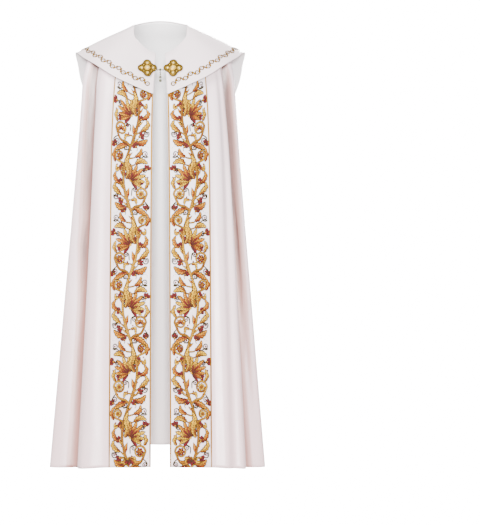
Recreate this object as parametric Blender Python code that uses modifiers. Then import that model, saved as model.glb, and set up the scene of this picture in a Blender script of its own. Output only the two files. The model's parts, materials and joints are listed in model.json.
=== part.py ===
"""A cope: a long open-fronted liturgical cloak with a hooded cape collar, two embroidered bands,
a metal clasp and a back tassel, shaped as worn on a general figure with nobody inside it.

Metres, +Z up. The front faces -Y and the wearer's right side is at -X. The origin is the middle of
the neck opening, level with the point where the neck meets the shoulders.
Girth runs along a level ring of the cloth, from the front edge (0) round the side to the back centre (1).
Level counts down the rows of SECTIONS, from the neck (0) to the hem.
"""

import math
from collections import namedtuple

import bmesh
import bpy
import numpy as np
from mathutils import Matrix, Vector
from mathutils.bvhtree import BVHTree

# Cloth
BODY_WALL = 0.0020
COLLAR_WALL = 0.0022
BAND_WALL = 0.0014
SEAM_GAP = 0.0003
SIDE_SEAM_GAP = 0.0006  # between the outer faces; the inner ones come closer where the shoulder bends
BAND_WIDTH = 0.136
SIDE_SEAM = 0.47  # girth of the seam between a front and the back
BAND_SHARE = 0.16  # girth that the band's strip of the front takes up
BAND_TOP_LEVEL = 3.5
COLLAR_TURN = 0.0031  # radius of the collar's outer face where it turns over the neck edge
COLLAR_CLEARANCE = 0.0058  # from the body's outer face to the collar's outer face

BAND_STEPS = 6
SIDE_STEPS = 38
LEVELS = [0, 0.5, 1, 1.5, 2, 2.5, 3, 3.5, 4, 4.5, 5, 5.5, 6, 6.5, 7, 8, 9, 10]
COLLAR_STEPS = 28  # columns on each side, front edge to tip to back point
COLLAR_ROWS = 8  # rows of the fall, below the turn over the neck edge
COLLAR_RELAX = 4

# Each ring of the figure that the cloth hangs on: heights at the side, front and back centre,
# half width, depth to the front and back, squareness of the oval, and half the front opening.
Section = namedtuple("Section", "name z_side z_front z_back half_width front back power half_gap")
SECTIONS = [
    Section("stand_top", 0.014, -0.074, 0.026, 0.086, 0.068, 0.066, 2.0, 0.0145),
    Section("neck", -0.003, -0.086, -0.003, 0.097, 0.078, 0.079, 2.0, 0.0150),
    Section("yoke", -0.021, -0.107, -0.036, 0.127, 0.098, 0.100, 2.0, 0.0165),
    Section("shoulder", -0.048, -0.146, -0.090, 0.180, 0.118, 0.122, 2.1, 0.0185),
    Section("arm_head", -0.088, -0.192, -0.150, 0.215, 0.131, 0.135, 2.2, 0.0205),
    Section("upper_arm", -0.150, -0.250, -0.218, 0.230, 0.139, 0.145, 2.35, 0.0225),
    Section("chest", -0.255, -0.325, -0.305, 0.236, 0.145, 0.153, 2.45, 0.0240),
    Section("waist", -0.480, -0.490, -0.485, 0.250, 0.154, 0.167, 2.55, 0.0255),
    Section("hip", -0.765, -0.765, -0.765, 0.272, 0.169, 0.189, 2.6, 0.0270),
    Section("knee", -1.085, -1.082, -1.080, 0.297, 0.187, 0.215, 2.65, 0.0283),
    Section("hem", -1.419, -1.397, -1.391, 0.324, 0.205, 0.243, 2.7, 0.0295),
]

# Each crest (+) or hollow (-) of the cloth, front to back: its girth at the neck end and at the hem,
# its height at the hem, the level where it starts, and how soon it grows (under 1 is sooner).
Fold = namedtuple("Fold", "name girth_top girth_hem height start growth")
FOLDS_WEARERS_RIGHT = [
    Fold("front_edge", 0.00, 0.00, -0.001, 3.0, 1.0),
    Fold("band_crown", 0.08, 0.08, 0.004, 3.0, 1.0),
    Fold("band_seam", 0.17, 0.17, -0.002, 3.0, 1.0),
    Fold("front_swell", 0.25, 0.250, 0.012, 3.0, 0.8),
    Fold("front_hollow", 0.340, 0.336, -0.032, 2.2, 0.6),
    Fold("arm_front", 0.410, 0.405, 0.039, 2.5, 0.8),
    Fold("arm_side", 0.490, 0.490, 0.004, 3.0, 1.0),
    Fold("arm_back", 0.568, 0.568, 0.036, 2.5, 0.8),
    Fold("back_hollow", 0.640, 0.628, -0.033, 2.2, 0.6),
    Fold("back_side_crest", 0.735, 0.715, 0.016, 3.5, 0.8),
    Fold("back_panel", 0.835, 0.830, -0.015, 3.5, 0.8),
    Fold("back_crest", 0.925, 0.920, 0.014, 3.5, 0.8),
    Fold("back_centre", 1.00, 1.00, 0.001, 3.5, 0.8),
]
FOLDS_WEARERS_LEFT = [
    Fold("front_edge", 0.00, 0.00, -0.001, 3.0, 1.0),
    Fold("band_crown", 0.08, 0.08, 0.003, 3.0, 1.0),
    Fold("band_seam", 0.17, 0.17, -0.002, 3.0, 1.0),
    Fold("front_swell", 0.225, 0.215, 0.009, 3.0, 0.8),
    Fold("front_dip", 0.255, 0.245, 0.001, 4.0, 1.0),
    Fold("front_second_swell", 0.285, 0.278, 0.013, 3.5, 0.9),
    Fold("front_hollow", 0.345, 0.340, -0.032, 2.2, 0.6),
    Fold("arm_front", 0.415, 0.410, 0.020, 2.5, 0.8),
    Fold("arm_side", 0.495, 0.495, -0.006, 3.0, 1.0),
    Fold("arm_back", 0.570, 0.565, 0.019, 2.5, 0.8),
    Fold("back_hollow", 0.640, 0.628, -0.035, 2.2, 0.6),
    Fold("back_side_crest", 0.735, 0.715, 0.018, 3.5, 0.8),
    Fold("back_panel", 0.830, 0.825, -0.016, 3.5, 0.8),
    Fold("back_crest", 0.925, 0.924, 0.012, 3.5, 0.8),
    Fold("back_centre", 1.00, 1.00, 0.001, 3.5, 0.8),
]

# Meridians of the cape collar, front centre to back centre: where each leaves the neck (share of the
# neck's half girth), its outer end, and how far its middle bows out.
Meridian = namedtuple("Meridian", "name neck_share x y z bow")
MERIDIANS = [
    Meridian("front_corner", 0.00, 0.021, -0.156, -0.219, 0.004),
    Meridian("front_low", 0.10, 0.084, -0.157, -0.192, 0.006),
    Meridian("front_mid", 0.20, 0.150, -0.142, -0.160, 0.010),
    Meridian("front_high", 0.30, 0.207, -0.104, -0.122, 0.010),
    Meridian("wing_front", 0.39, 0.246, -0.055, -0.097, 0.014),
    Meridian("tip", 0.47, 0.275, 0.000, -0.076, 0.012),
    Meridian("wing_back", 0.54, 0.270, 0.048, -0.114, 0.018),
    Meridian("hood_side", 0.62, 0.262, 0.092, -0.163, 0.020),
    Meridian("hood_flank", 0.71, 0.240, 0.136, -0.221, 0.018),
    Meridian("hood_turn", 0.80, 0.200, 0.162, -0.279, 0.014),
    Meridian("hood_low", 0.90, 0.112, 0.178, -0.335, 0.010),
    Meridian("hood_point", 1.00, 0.000, 0.184, -0.377, 0.006),
]

# Clasp
ROSETTE_X = 0.0412
ROSETTE_Z = -0.137
LOBE_OFFSET = 0.0180
LOBE_RADIUS = 0.0128
HUB_RADIUS = 0.0230
PLATE_THICKNESS = 0.0022
RIM_WIRE = 0.0013
BOSS_RING_RADIUS = 0.0042
WIRE = 0.0007  # radius of the clasp's chain wire
LINK_RADIUS = 0.0022  # of a link's centreline
CENTRE_STONE_RADIUS = 0.0042
DROP_STONE_RADIUS = 0.0040
DROP_END_STONE_RADIUS = 0.0046
SEAT_CLEARANCE = 0.0003
DOME = Matrix.Diagonal((1, 1, 0.4, 1))
UNION_SCALE = 200  # small solids are united at this size, where the union's own tolerance is fine enough

# Tassel
TASSEL_CORD_RADIUS = 0.0013
TASSEL_BALL_RADIUS = 0.0078
TASSEL_TOP_Z = -0.407
TASSEL_FOOT_RADIUS = 0.0205
STRAND_LENGTH = 0.071
STRAND_SIDE = 0.0042
STRAND_RINGS = [(16, 0.0142, 0.0008), (8, 0.0082, 0.0004)]  # count, radius, outward lean per 10 mm
TASSEL_CLEARANCE = 0.0040


def clear_scene():
    for obj in list(bpy.data.objects):
        bpy.data.objects.remove(obj)


def smooth_rows(rows, at):
    """Catmull-Rom curve through rows of numbers, read at row positions."""
    rows = np.asarray(rows, float)
    padded = np.vstack([2 * rows[:1] - rows[1:2], rows, 2 * rows[-1:] - rows[-2:-1]])
    at = np.atleast_1d(np.asarray(at, float))
    index = np.clip(np.floor(at).astype(int), 0, len(rows) - 2)
    f = (at - index)[:, None]
    a, b, c, d = (padded[index + k] for k in range(4))
    return 0.5 * (2 * b + (c - a) * f + (2 * a - 5 * b + 4 * c - d) * f**2 + (3 * b - a - 3 * c + d) * f**3)


def section_at(level):
    values = smooth_rows([section[1:] for section in SECTIONS], level)[0]
    return Section("between", *values)


def ring_points(level, side, shares):
    """Points of the unfolded cloth on one ring, at shares of the way from front centre to back centre."""
    ring = section_at(level)
    turn = np.linspace(0.0, math.pi, 361)
    sine, cosine = np.sin(turn), np.cos(turn)
    x = ring.half_width * np.abs(sine) ** (2 / ring.power)
    depth = np.where(cosine > 0, -ring.front, ring.back)
    y = depth * np.abs(cosine) ** (2 / ring.power)
    z_centre = np.where(cosine > 0, ring.z_front, ring.z_back)
    z = ring.z_side * sine**2 + z_centre * cosine**2
    curve = np.stack([x, y, z], axis=1)
    along = np.concatenate([[0.0], np.cumsum(np.linalg.norm(np.diff(curve, axis=0), axis=1))])
    at = shares(ring, along[-1])
    points = np.stack([np.interp(at, along, curve[:, k]) for k in range(3)], axis=1)
    points[:, 0] *= side
    return points


def girth_to_length(girth):
    """Returns a function that turns girth into length along a ring from the front centre."""

    def lengths(ring, half_girth):
        band_end = ring.half_gap + min(BAND_WIDTH, 0.42 * half_girth)
        share = (girth - BAND_SHARE) / (1 - BAND_SHARE)
        in_band = ring.half_gap + girth / BAND_SHARE * (band_end - ring.half_gap)
        return np.where(girth < BAND_SHARE, in_band, band_end + share * (half_girth - band_end))

    return lengths


def neck_to_length(share):
    return lambda ring, half_girth: ring.half_gap + share * (half_girth - ring.half_gap)


def unit(vectors):
    return vectors / np.linalg.norm(vectors, axis=-1, keepdims=True)


def dots(a, b):
    return (a * b).sum(axis=-1)


def grid_normals(points):
    """Unit normals of a grid of points, facing out where columns run round from the wearer's right."""
    across = np.gradient(points, axis=1)
    down = np.gradient(points, axis=0)
    return unit(np.cross(across, down))


def fold_height(folds, girth, level):
    """Height of the cloth over the figure, by easing between crests and hollows."""
    hem_level = len(SECTIONS) - 1
    drop = level / hem_level
    places = [fold.girth_top + (fold.girth_hem - fold.girth_top) * drop for fold in folds]
    grown = [max(0.0, (level - fold.start) / (hem_level - fold.start)) ** fold.growth for fold in folds]
    heights = [fold.height * share for fold, share in zip(folds, grown)]
    index = np.clip(np.searchsorted(places, girth, side="right") - 1, 0, len(folds) - 2)
    start, end = np.take(places, index), np.take(places, index + 1)
    share = np.clip((girth - start) / (end - start), 0, 1)
    eased = (1 - np.cos(math.pi * share)) / 2
    return np.take(heights, index) * (1 - eased) + np.take(heights, index + 1) * eased


def body_girths():
    band = np.linspace(0, BAND_SHARE, BAND_STEPS + 1)
    side = np.linspace(BAND_SHARE, 1, SIDE_STEPS + 1)[1:]
    girths = np.concatenate([band, side])
    girths[np.abs(girths - SIDE_SEAM).argmin()] = SIDE_SEAM
    return girths


def body_surface():
    """The cloth's outer face as a grid, rows from neck to hem, columns from the wearer's right front
    edge round the back to the left front edge, with the girth of each column."""
    girths = body_girths()
    rows, heights = [], []
    for level in LEVELS:
        right = ring_points(level, -1, girth_to_length(girths))
        left = ring_points(level, 1, girth_to_length(girths))
        rows.append(np.vstack([right, left[-2::-1]]))
        fold_right = fold_height(FOLDS_WEARERS_RIGHT, girths, level)
        fold_left = fold_height(FOLDS_WEARERS_LEFT, girths, level)
        heights.append(np.concatenate([fold_right, fold_left[-2::-1]]))
    figure = np.array(rows)
    normals = grid_normals(figure)
    normals[-3:, :, 2] = 0  # the hem stays level
    surface = figure + normals * np.array(heights)[:, :, None]
    return surface, np.concatenate([girths, girths[-2::-1]])


def grid_faces(rows, columns):
    return [
        (i * columns + j, i * columns + j + 1, (i + 1) * columns + j + 1, (i + 1) * columns + j)
        for i in range(rows - 1)
        for j in range(columns - 1)
    ]


def grid_triangles(rows, columns):
    return [half for a, b, c, d in grid_faces(rows, columns) for half in ((a, b, c), (a, c, d))]


def surface_tree(*grids):
    points, faces = [], []
    for grid in grids:
        start = len(points)
        points += [Vector(p) for p in grid.reshape(-1, 3)]
        faces += [tuple(start + k for k in face) for face in grid_triangles(*grid.shape[:2])]
    return BVHTree.FromPolygons(points, faces)


def pushed_out(point, tree, clearance):
    """The point, moved out along the nearest face's normal until it is that far in front of it."""
    place, normal, _, _ = tree.find_nearest(Vector(point))
    ahead = (Vector(point) - place).dot(normal)
    if ahead < clearance:
        return np.array(Vector(point) + normal * (clearance - ahead))
    return point


def midway(grid, axis):
    """The grid with a point added half way along each of its steps."""
    size = grid.shape[axis]
    ahead = np.take(grid, range(1, size), axis)
    behind = np.take(grid, range(size - 1), axis)
    return np.concatenate([grid, (ahead + behind) / 2], axis=axis)


def lifted_over(grid, below, clearance, first_row):
    """The grid with its faces moved out wherever a point of the cloth below comes too near one."""
    grid = grid.copy()
    tree = surface_tree(grid)
    lift = np.zeros_like(grid)
    columns = grid.shape[1]
    for point in below:
        place, normal, face, distance = tree.find_nearest(Vector(point))
        behind = (place - Vector(point)).dot(normal)
        if distance > 3 * clearance or behind >= clearance:
            continue
        row, column = divmod(face // 2, columns - 1)
        for i, j in ((row, column), (row, column + 1), (row + 1, column), (row + 1, column + 1)):
            if i >= first_row and clearance - behind > np.linalg.norm(lift[i, j]):
                lift[i, j] = np.array(normal) * (clearance - behind)
    return grid + lift


def material(name, colour, roughness, metallic=0.0):
    made = bpy.data.materials.new(name)
    made.use_nodes = True
    shader = made.node_tree.nodes["Principled BSDF"]
    shader.inputs["Base Color"].default_value = (*colour, 1)
    shader.inputs["Roughness"].default_value = roughness
    shader.inputs["Metallic"].default_value = metallic
    return made


def new_object(name, mesh, look, smooth_angle=60):
    for polygon in mesh.polygons:
        polygon.use_smooth = True
    mesh.set_sharp_from_angle(angle=math.radians(smooth_angle))
    mesh.materials.append(look)
    obj = bpy.data.objects.new(name, mesh)
    collection_named("cope").objects.link(obj)
    return obj


def collection_named(name):
    found = bpy.data.collections.get(name)
    if found is None:
        found = bpy.data.collections.new(name)
        bpy.context.scene.collection.children.link(found)
    return found


def cloth(name, outer, wall, look):
    """A grid of outer points as a cloth wall of that thickness, grown inwards."""
    mesh = bpy.data.meshes.new(name)
    mesh.from_pydata(outer.reshape(-1, 3).tolist(), [], grid_faces(*outer.shape[:2]))
    obj = new_object(name, mesh, look)
    shell = obj.modifiers.new("Wall", "SOLIDIFY")
    shell.thickness = wall
    shell.offset = -1
    return obj


def edged(grid, first_gap, last_gap):
    """The grid with its first and last columns drawn in by half a seam gap."""
    grid = grid.copy()
    for edge, beside, gap in ((0, 1, first_gap), (-1, -2, last_gap)):
        inward = grid[:, beside] - grid[:, edge]
        grid[:, edge] += unit(inward) * gap / 2
    return grid


def make_body(surface, girths, look):
    seams = np.flatnonzero(girths == SIDE_SEAM)
    right_seam, left_seam = int(seams[0]), int(seams[-1])
    cloth("front_right", edged(surface[:, : right_seam + 1], 0, SIDE_SEAM_GAP), BODY_WALL, look)
    back = edged(surface[:, right_seam : left_seam + 1], SIDE_SEAM_GAP, SIDE_SEAM_GAP)
    cloth("back", back, BODY_WALL, look)
    cloth("front_left", edged(surface[:, left_seam:], SIDE_SEAM_GAP, 0), BODY_WALL, look)


def band_grid(surface, columns):
    """The outer face of an embroidered band: the front's own points, moved out."""
    top = LEVELS.index(BAND_TOP_LEVEL)
    normals = grid_normals(surface)
    return (surface + normals * (SEAM_GAP + BAND_WALL))[top:, columns]


def make_bands(surface, look):
    right = band_grid(surface, slice(0, BAND_STEPS + 1))
    left = band_grid(surface, slice(-BAND_STEPS - 1, None))
    cloth("band_right", right, BAND_WALL, look)
    cloth("band_left", left, BAND_WALL, look)
    return right, left


def on_line(points, line):
    """Each point, moved to the nearest place on a line of points."""
    starts, steps = line[:-1], np.diff(line, axis=0)
    moved = []
    for point in points:
        share = np.clip(dots(point - starts, steps) / dots(steps, steps), 0, 1)
        places = starts + steps * share[:, None]
        moved.append(places[np.linalg.norm(places - point, axis=1).argmin()])
    return np.array(moved)


def collar_half(side, neck_edge, tree):
    """One half of the collar's outer face: rows from inside the neck edge, over it and out to the
    collar's own edge; columns front to back."""
    at = np.linspace(0, len(MERIDIANS) - 1, COLLAR_STEPS + 1)
    table = smooth_rows([meridian[1:] for meridian in MERIDIANS], at)
    share, bow = np.clip(table[:, 0], 0, 1), table[:, 4]
    edge = table[:, 1:4] * [side, 1, 1]
    seam = on_line(ring_points(0, side, neck_to_length(share)), neck_edge)
    upward = unit(seam - ring_points(0.25, side, neck_to_length(share)))
    outward = unit(np.cross(np.gradient(seam, axis=0), upward)) * side
    fall = edge - seam
    end_turn = np.arctan2(-dots(fall, upward), dots(fall, outward))
    rows = [seam + upward * COLLAR_TURN - outward * BODY_WALL * 0.6]
    for turned_share in (0, 0.5, 1):
        turn = (end_turn * turned_share)[:, None]
        rows.append(seam + (upward * np.cos(turn) + outward * np.sin(turn)) * COLLAR_TURN)
    top = rows.pop()
    middle = (top + edge) / 2
    middle = np.array([m + np.array(tree.find_nearest(Vector(m))[1]) * b for m, b in zip(middle, bow)])
    for step in range(COLLAR_ROWS + 1):
        f = step / COLLAR_ROWS
        rows.append((1 - f) ** 2 * top + 2 * f * (1 - f) * middle + f**2 * edge)
    return np.array(rows)


def collar_surface(surface, bands):
    """The collar's outer face, relaxed over the shoulders and kept clear of the cloth under it."""
    tree = surface_tree(surface, *bands)
    below = [midway(midway(grid, 0), 1).reshape(-1, 3) for grid in (surface, *bands)]
    below = np.concatenate(below)
    below = below[below[:, 2] > -0.45]
    right = collar_half(-1, surface[0], tree)
    left = collar_half(1, surface[0], tree)
    grid = np.concatenate([right, left[:, -2::-1]], axis=1)
    for _ in range(COLLAR_RELAX):
        inner = (grid[3:-2, 1:-1] + grid[5:, 1:-1] + grid[4:-1, :-2] + grid[4:-1, 2:]) / 4
        grid[4:-1, 1:-1] = (grid[4:-1, 1:-1] + inner) / 2
        for i in range(4, grid.shape[0]):
            clearance = min(COLLAR_CLEARANCE, COLLAR_TURN + 0.0010 * (i - 3))
            for j in range(grid.shape[1]):
                grid[i, j] = pushed_out(grid[i, j], tree, clearance)
    for _ in range(4):
        grid = lifted_over(grid, below, COLLAR_WALL + 0.0008, 4)
    return grid


def primitive(name, kind, place, **sizes):
    """A bmesh primitive as a temporary object at a 4x4 place."""
    shape = bmesh.new()
    getattr(bmesh.ops, kind)(shape, matrix=place, **sizes)
    mesh = bpy.data.meshes.new(name)
    shape.to_mesh(mesh)
    shape.free()
    obj = bpy.data.objects.new(name, mesh)
    bpy.context.scene.collection.objects.link(obj)
    return obj


def disc(radius, height, place, sides=20):
    """A cylinder standing on the origin of its place."""
    place = place @ Matrix.Translation((0, 0, height / 2))
    return primitive(
        "disc", "create_cone", place, cap_ends=True, segments=sides, radius1=radius, radius2=radius,
        depth=height
    )


def torus(radius, wire, place, steps=16, sides=6):
    bpy.ops.mesh.primitive_torus_add(
        major_radius=radius, minor_radius=wire, major_segments=steps, minor_segments=sides
    )
    obj = bpy.context.object
    obj.data.transform(place)
    return obj


def ball(radius, place, steps=10):
    rows = max(4, steps // 2)
    return primitive("ball", "create_uvsphere", place, u_segments=steps, v_segments=rows, radius=radius)


def rod(start, end, radius, sides=8):
    start, end = Vector(start), Vector(end)
    place = Matrix.Translation(start) @ (end - start).to_track_quat("Z", "Y").to_matrix().to_4x4()
    return disc(radius, (end - start).length, place, sides)


def turned(name, profile, steps, place):
    """A solid of revolution about its place's Z, from a closed profile of (radius, z), top to bottom."""
    mesh = bpy.data.meshes.new(name)
    edges = [(i, i + 1) for i in range(len(profile) - 1)]
    mesh.from_pydata([(radius, 0, z) for radius, z in profile], edges, [])
    obj = bpy.data.objects.new(name, mesh)
    bpy.context.scene.collection.objects.link(obj)
    screw = obj.modifiers.new("Turn", "SCREW")
    screw.steps = screw.render_steps = steps
    screw.use_merge_vertices = True
    screw.merge_threshold = 0.00005
    mesh = bpy.data.meshes.new_from_object(obj.evaluated_get(bpy.context.evaluated_depsgraph_get()))
    bpy.data.objects.remove(obj)
    mesh.transform(place)
    solid = bpy.data.objects.new(name, mesh)
    bpy.context.scene.collection.objects.link(solid)
    return solid


def united(name, pieces, look):
    """One named object from several overlapping solids, united while they are enlarged."""
    base = pieces[0]
    for piece in pieces:
        piece.data.transform(Matrix.Scale(UNION_SCALE, 4))
    others = bpy.data.collections.new(name + "_parts")
    for other in pieces[1:]:
        others.objects.link(other)
    union = base.modifiers.new("Join", "BOOLEAN")
    union.operation = "UNION"
    union.operand_type = "COLLECTION"
    union.collection = others
    bpy.context.view_layer.update()
    mesh = bpy.data.meshes.new_from_object(base.evaluated_get(bpy.context.evaluated_depsgraph_get()))
    mesh.transform(Matrix.Scale(1 / UNION_SCALE, 4))
    mesh.materials.clear()
    for piece in pieces:
        bpy.data.objects.remove(piece)
    bpy.data.collections.remove(others)
    return new_object(name, mesh, look, smooth_angle=40)


def facing(point, normal):
    """A place whose origin is the point and whose Z is the normal, with Y as upright as it can be."""
    z_axis = Vector(normal).normalized()
    x_axis = Vector((0, 0, 1)).cross(z_axis).normalized()
    y_axis = z_axis.cross(x_axis)
    turn = Matrix((x_axis, y_axis, z_axis)).transposed().to_4x4()
    return Matrix.Translation(Vector(point)) @ turn


def rosette_place(side, collar, collar_tree):
    """Where a rosette's back rests on the collar, and the way it faces."""
    hits = []
    for radius, count in ((0.0, 1), (0.010, 8), (0.020, 16), (0.030, 24)):
        for k in range(count):
            turn = 2 * math.pi * k / count
            x, z = side * ROSETTE_X + radius * math.cos(turn), ROSETTE_Z + radius * math.sin(turn)
            start = Vector((x, -1, z))
            spot, normal, _, _ = collar_tree.ray_cast(start, Vector((0, 1, 0)))
            if spot is not None and spot.y < 0:
                hits.append((spot, normal))
    facing_out = sum((normal for _, normal in hits), Vector()).normalized()
    centre = hits[0][0]
    near = [Vector(point) for point in collar.reshape(-1, 3) if (Vector(point) - centre).length < 0.045]
    rise = max((spot - centre).dot(facing_out) for spot in near + [spot for spot, _ in hits])
    return facing(centre + facing_out * (rise + SEAT_CLEARANCE), facing_out)


def raised(place, height):
    return place @ Matrix.Translation((0, 0, height))


def make_rosette(name, place, side, eye, look):
    """A four-lobed filigree rosette with a wire arm that ends in an eye beside the centre link."""
    pieces = [disc(HUB_RADIUS, PLATE_THICKNESS, place, 28)]
    for k in range(4):
        lobe = place @ Matrix.Rotation(k * math.pi / 2, 4, "Z") @ Matrix.Translation((LOBE_OFFSET, 0, 0))
        pieces.append(disc(LOBE_RADIUS, PLATE_THICKNESS * 0.7, raised(lobe, 0.0003), 18))
        rim_place = raised(lobe, PLATE_THICKNESS * 0.95)
        pieces.append(torus(LOBE_RADIUS - RIM_WIRE * 1.5, RIM_WIRE, rim_place, 14, 5))
        pieces.append(ball(LOBE_RADIUS * 0.38, raised(lobe, PLATE_THICKNESS * 0.85) @ DOME, 8))
    pieces.append(torus(BOSS_RING_RADIUS, RIM_WIRE, raised(place, PLATE_THICKNESS * 1.15), 14, 5))
    arm_start = place @ Vector((-side * LOBE_OFFSET, 0, PLATE_THICKNESS * 1.3))
    arm_end = Vector(eye) + Vector((side * (LINK_RADIUS - WIRE * 0.3), 0, 0))
    pieces.append(rod(arm_start, arm_end, WIRE, 6))
    level = Matrix.Translation(Vector(eye)) @ Matrix.Rotation(math.pi / 2, 4, "X")
    pieces.append(torus(LINK_RADIUS, WIRE, level, 12, 6))
    return united(name, pieces, look)


def bezel(radius, place):
    """A stone's setting: a disc with a raised rim, facing its place's Z."""
    rim = torus(radius, WIRE * 1.4, raised(place, 0.0003), 14, 5)
    return [disc(radius, 0.0022, raised(place, -0.0011), 14), rim]


def make_clasp(collar, gold):
    """Both rosettes, the centre link between them, and the stone drop that swings below it."""
    tree = surface_tree(collar)
    places = {side: rosette_place(side, collar, tree) for side in (-1, 1)}
    lobe_end = Vector((LOBE_OFFSET + LOBE_RADIUS, 0, PLATE_THICKNESS))
    front = min((places[side] @ (lobe_end * Vector((-side, 1, 1)))).y for side in places) - 2 * RIM_WIRE
    centre = Vector((0, front, ROSETTE_Z - 0.004))
    face_out = Matrix.Rotation(math.pi / 2, 4, "X")
    reach = CENTRE_STONE_RADIUS + LINK_RADIUS
    pieces = bezel(CENTRE_STONE_RADIUS, Matrix.Translation(centre) @ face_out)
    for side in (-1, 1):
        ear = centre + Vector((side * reach, 0, 0))
        pieces.append(torus(LINK_RADIUS, WIRE, Matrix.Translation(ear), 14, 6))
    hinge = centre - Vector((0, 0, reach))
    eye_place = Matrix.Translation(hinge) @ Matrix.Rotation(math.pi / 2, 4, "Y")
    pieces.append(torus(LINK_RADIUS, WIRE, eye_place, 14, 6))
    united("clasp_link", pieces, gold)
    step = 2 * LINK_RADIUS - 2 * WIRE - SEAM_GAP
    for side, name in ((-1, "rosette_right"), (1, "rosette_left")):
        eye = centre + Vector((side * (reach + step), 0, 0))
        make_rosette(name, places[side], side, eye, gold)
    make_drop(hinge, face_out, gold)


def make_drop(hinge, face_out, gold):
    """The swinging drop. Its top ring passes through the centre link's lower eye, on the hinge axis."""
    ring = hinge - Vector((0, 0, LINK_RADIUS))
    pieces = [torus(LINK_RADIUS, WIRE, Matrix.Translation(ring) @ face_out, 12, 6)]
    bottom = ring.z - LINK_RADIUS
    stem_end = bottom - 0.0085
    pieces.append(rod((0, hinge.y, bottom + WIRE * 0.4), (0, hinge.y, stem_end - 0.001), WIRE, 6))
    pieces.append(ball(0.0023, Matrix.Translation((0, hinge.y, bottom - 0.0040)), 8))
    upper = stem_end - DROP_STONE_RADIUS
    pieces += bezel(DROP_STONE_RADIUS, Matrix.Translation((0, hinge.y, upper)) @ face_out)
    lower = upper - DROP_STONE_RADIUS - DROP_END_STONE_RADIUS - 0.0022
    stem = [(0, hinge.y, upper - DROP_STONE_RADIUS), (0, hinge.y, lower + DROP_END_STONE_RADIUS)]
    pieces.append(rod(*stem, WIRE, 6))
    pieces += bezel(DROP_END_STONE_RADIUS, Matrix.Translation((0, hinge.y, lower)) @ face_out)
    united("clasp_drop", pieces, gold)


def make_tassel(collar, back_tree, gold):
    """A bullion tassel on a short cord below the hood's point: a ball, a wound skirt and strands."""
    point = collar[-1, collar.shape[1] // 2]
    foot_z = TASSEL_TOP_Z - 0.128
    back_y = back_tree.ray_cast(Vector((0, 1, foot_z)), Vector((0, -1, 0)))[0].y
    y = max(point[1], back_y + TASSEL_CLEARANCE + TASSEL_FOOT_RADIUS)
    ball_z = TASSEL_TOP_Z - TASSEL_BALL_RADIUS
    skirt_top = ball_z - TASSEL_BALL_RADIUS * 0.75
    profile = [
        (0.0, 0.0), (0.0048, -0.0006), (0.0062, -0.004), (0.0072, -0.009), (0.0086, -0.017),
        (0.0100, -0.026), (0.0112, -0.0335), (0.0150, -0.036), (0.0168, -0.0395),
        (0.0160, -0.0435), (0.0120, -0.0455), (0.0, -0.0455),
    ]
    place = Matrix.Translation((0, y, skirt_top))
    pieces = [turned("skirt", profile, 20, place)]
    pieces.append(ball(TASSEL_BALL_RADIUS, Matrix.Translation((0, y, ball_z)), 14))
    cord_top = (0, point[1] - COLLAR_WALL / 2, point[2] - SEAM_GAP - TASSEL_CORD_RADIUS / 2)
    pieces.append(rod((0, y, ball_z), cord_top, TASSEL_CORD_RADIUS, 6))
    root = skirt_top - 0.043
    for count, radius, lean in STRAND_RINGS:
        for k in range(count):
            turn = 2 * math.pi * (k + 0.5) / count
            out = Vector((math.cos(turn), math.sin(turn), 0))
            foot = out * (radius + lean * STRAND_LENGTH / 0.010) + Vector((0, y, root - STRAND_LENGTH))
            pieces.append(rod(out * radius + Vector((0, y, root)), foot, STRAND_SIDE / 2, 4))
    united("tassel", pieces, gold)


def main():
    clear_scene()
    satin = material("satin", (0.86, 0.80, 0.79), 0.42)
    band_silk = material("band_silk", (0.90, 0.87, 0.86), 0.5)
    collar_satin = material("collar_satin", (0.87, 0.83, 0.81), 0.42)
    clasp_gold = material("clasp_gold", (0.70, 0.52, 0.20), 0.32, 1.0)
    tassel_gold = material("tassel_gold", (0.72, 0.52, 0.25), 0.55, 0.3)
    surface, girths = body_surface()
    make_body(surface, girths, satin)
    bands = make_bands(surface, band_silk)
    collar = collar_surface(surface, bands)
    cloth("collar_hood", collar, COLLAR_WALL, collar_satin)
    make_clasp(collar, clasp_gold)
    make_tassel(collar, surface_tree(surface), tassel_gold)


main()
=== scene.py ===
"""The looks of the cope: fine satin shells over the frame's solids, raised embroidery on the bands and
the hooded collar, a filigree clasp with stones, and a bullion tassel, with the light and the camera.

Metres, +Z up. The front faces -Y and the wearer's right side is at -X. Girth runs along a level ring
of the cloth, from the front edge (0) round the side to the back centre (1). Level counts down the rows
of SECTIONS, from the neck (0) to the hem.
"""

import json
import math
from collections import namedtuple

import bpy
import numpy as np
from mathutils import Matrix, Vector
from mathutils.bvhtree import BVHTree


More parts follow.
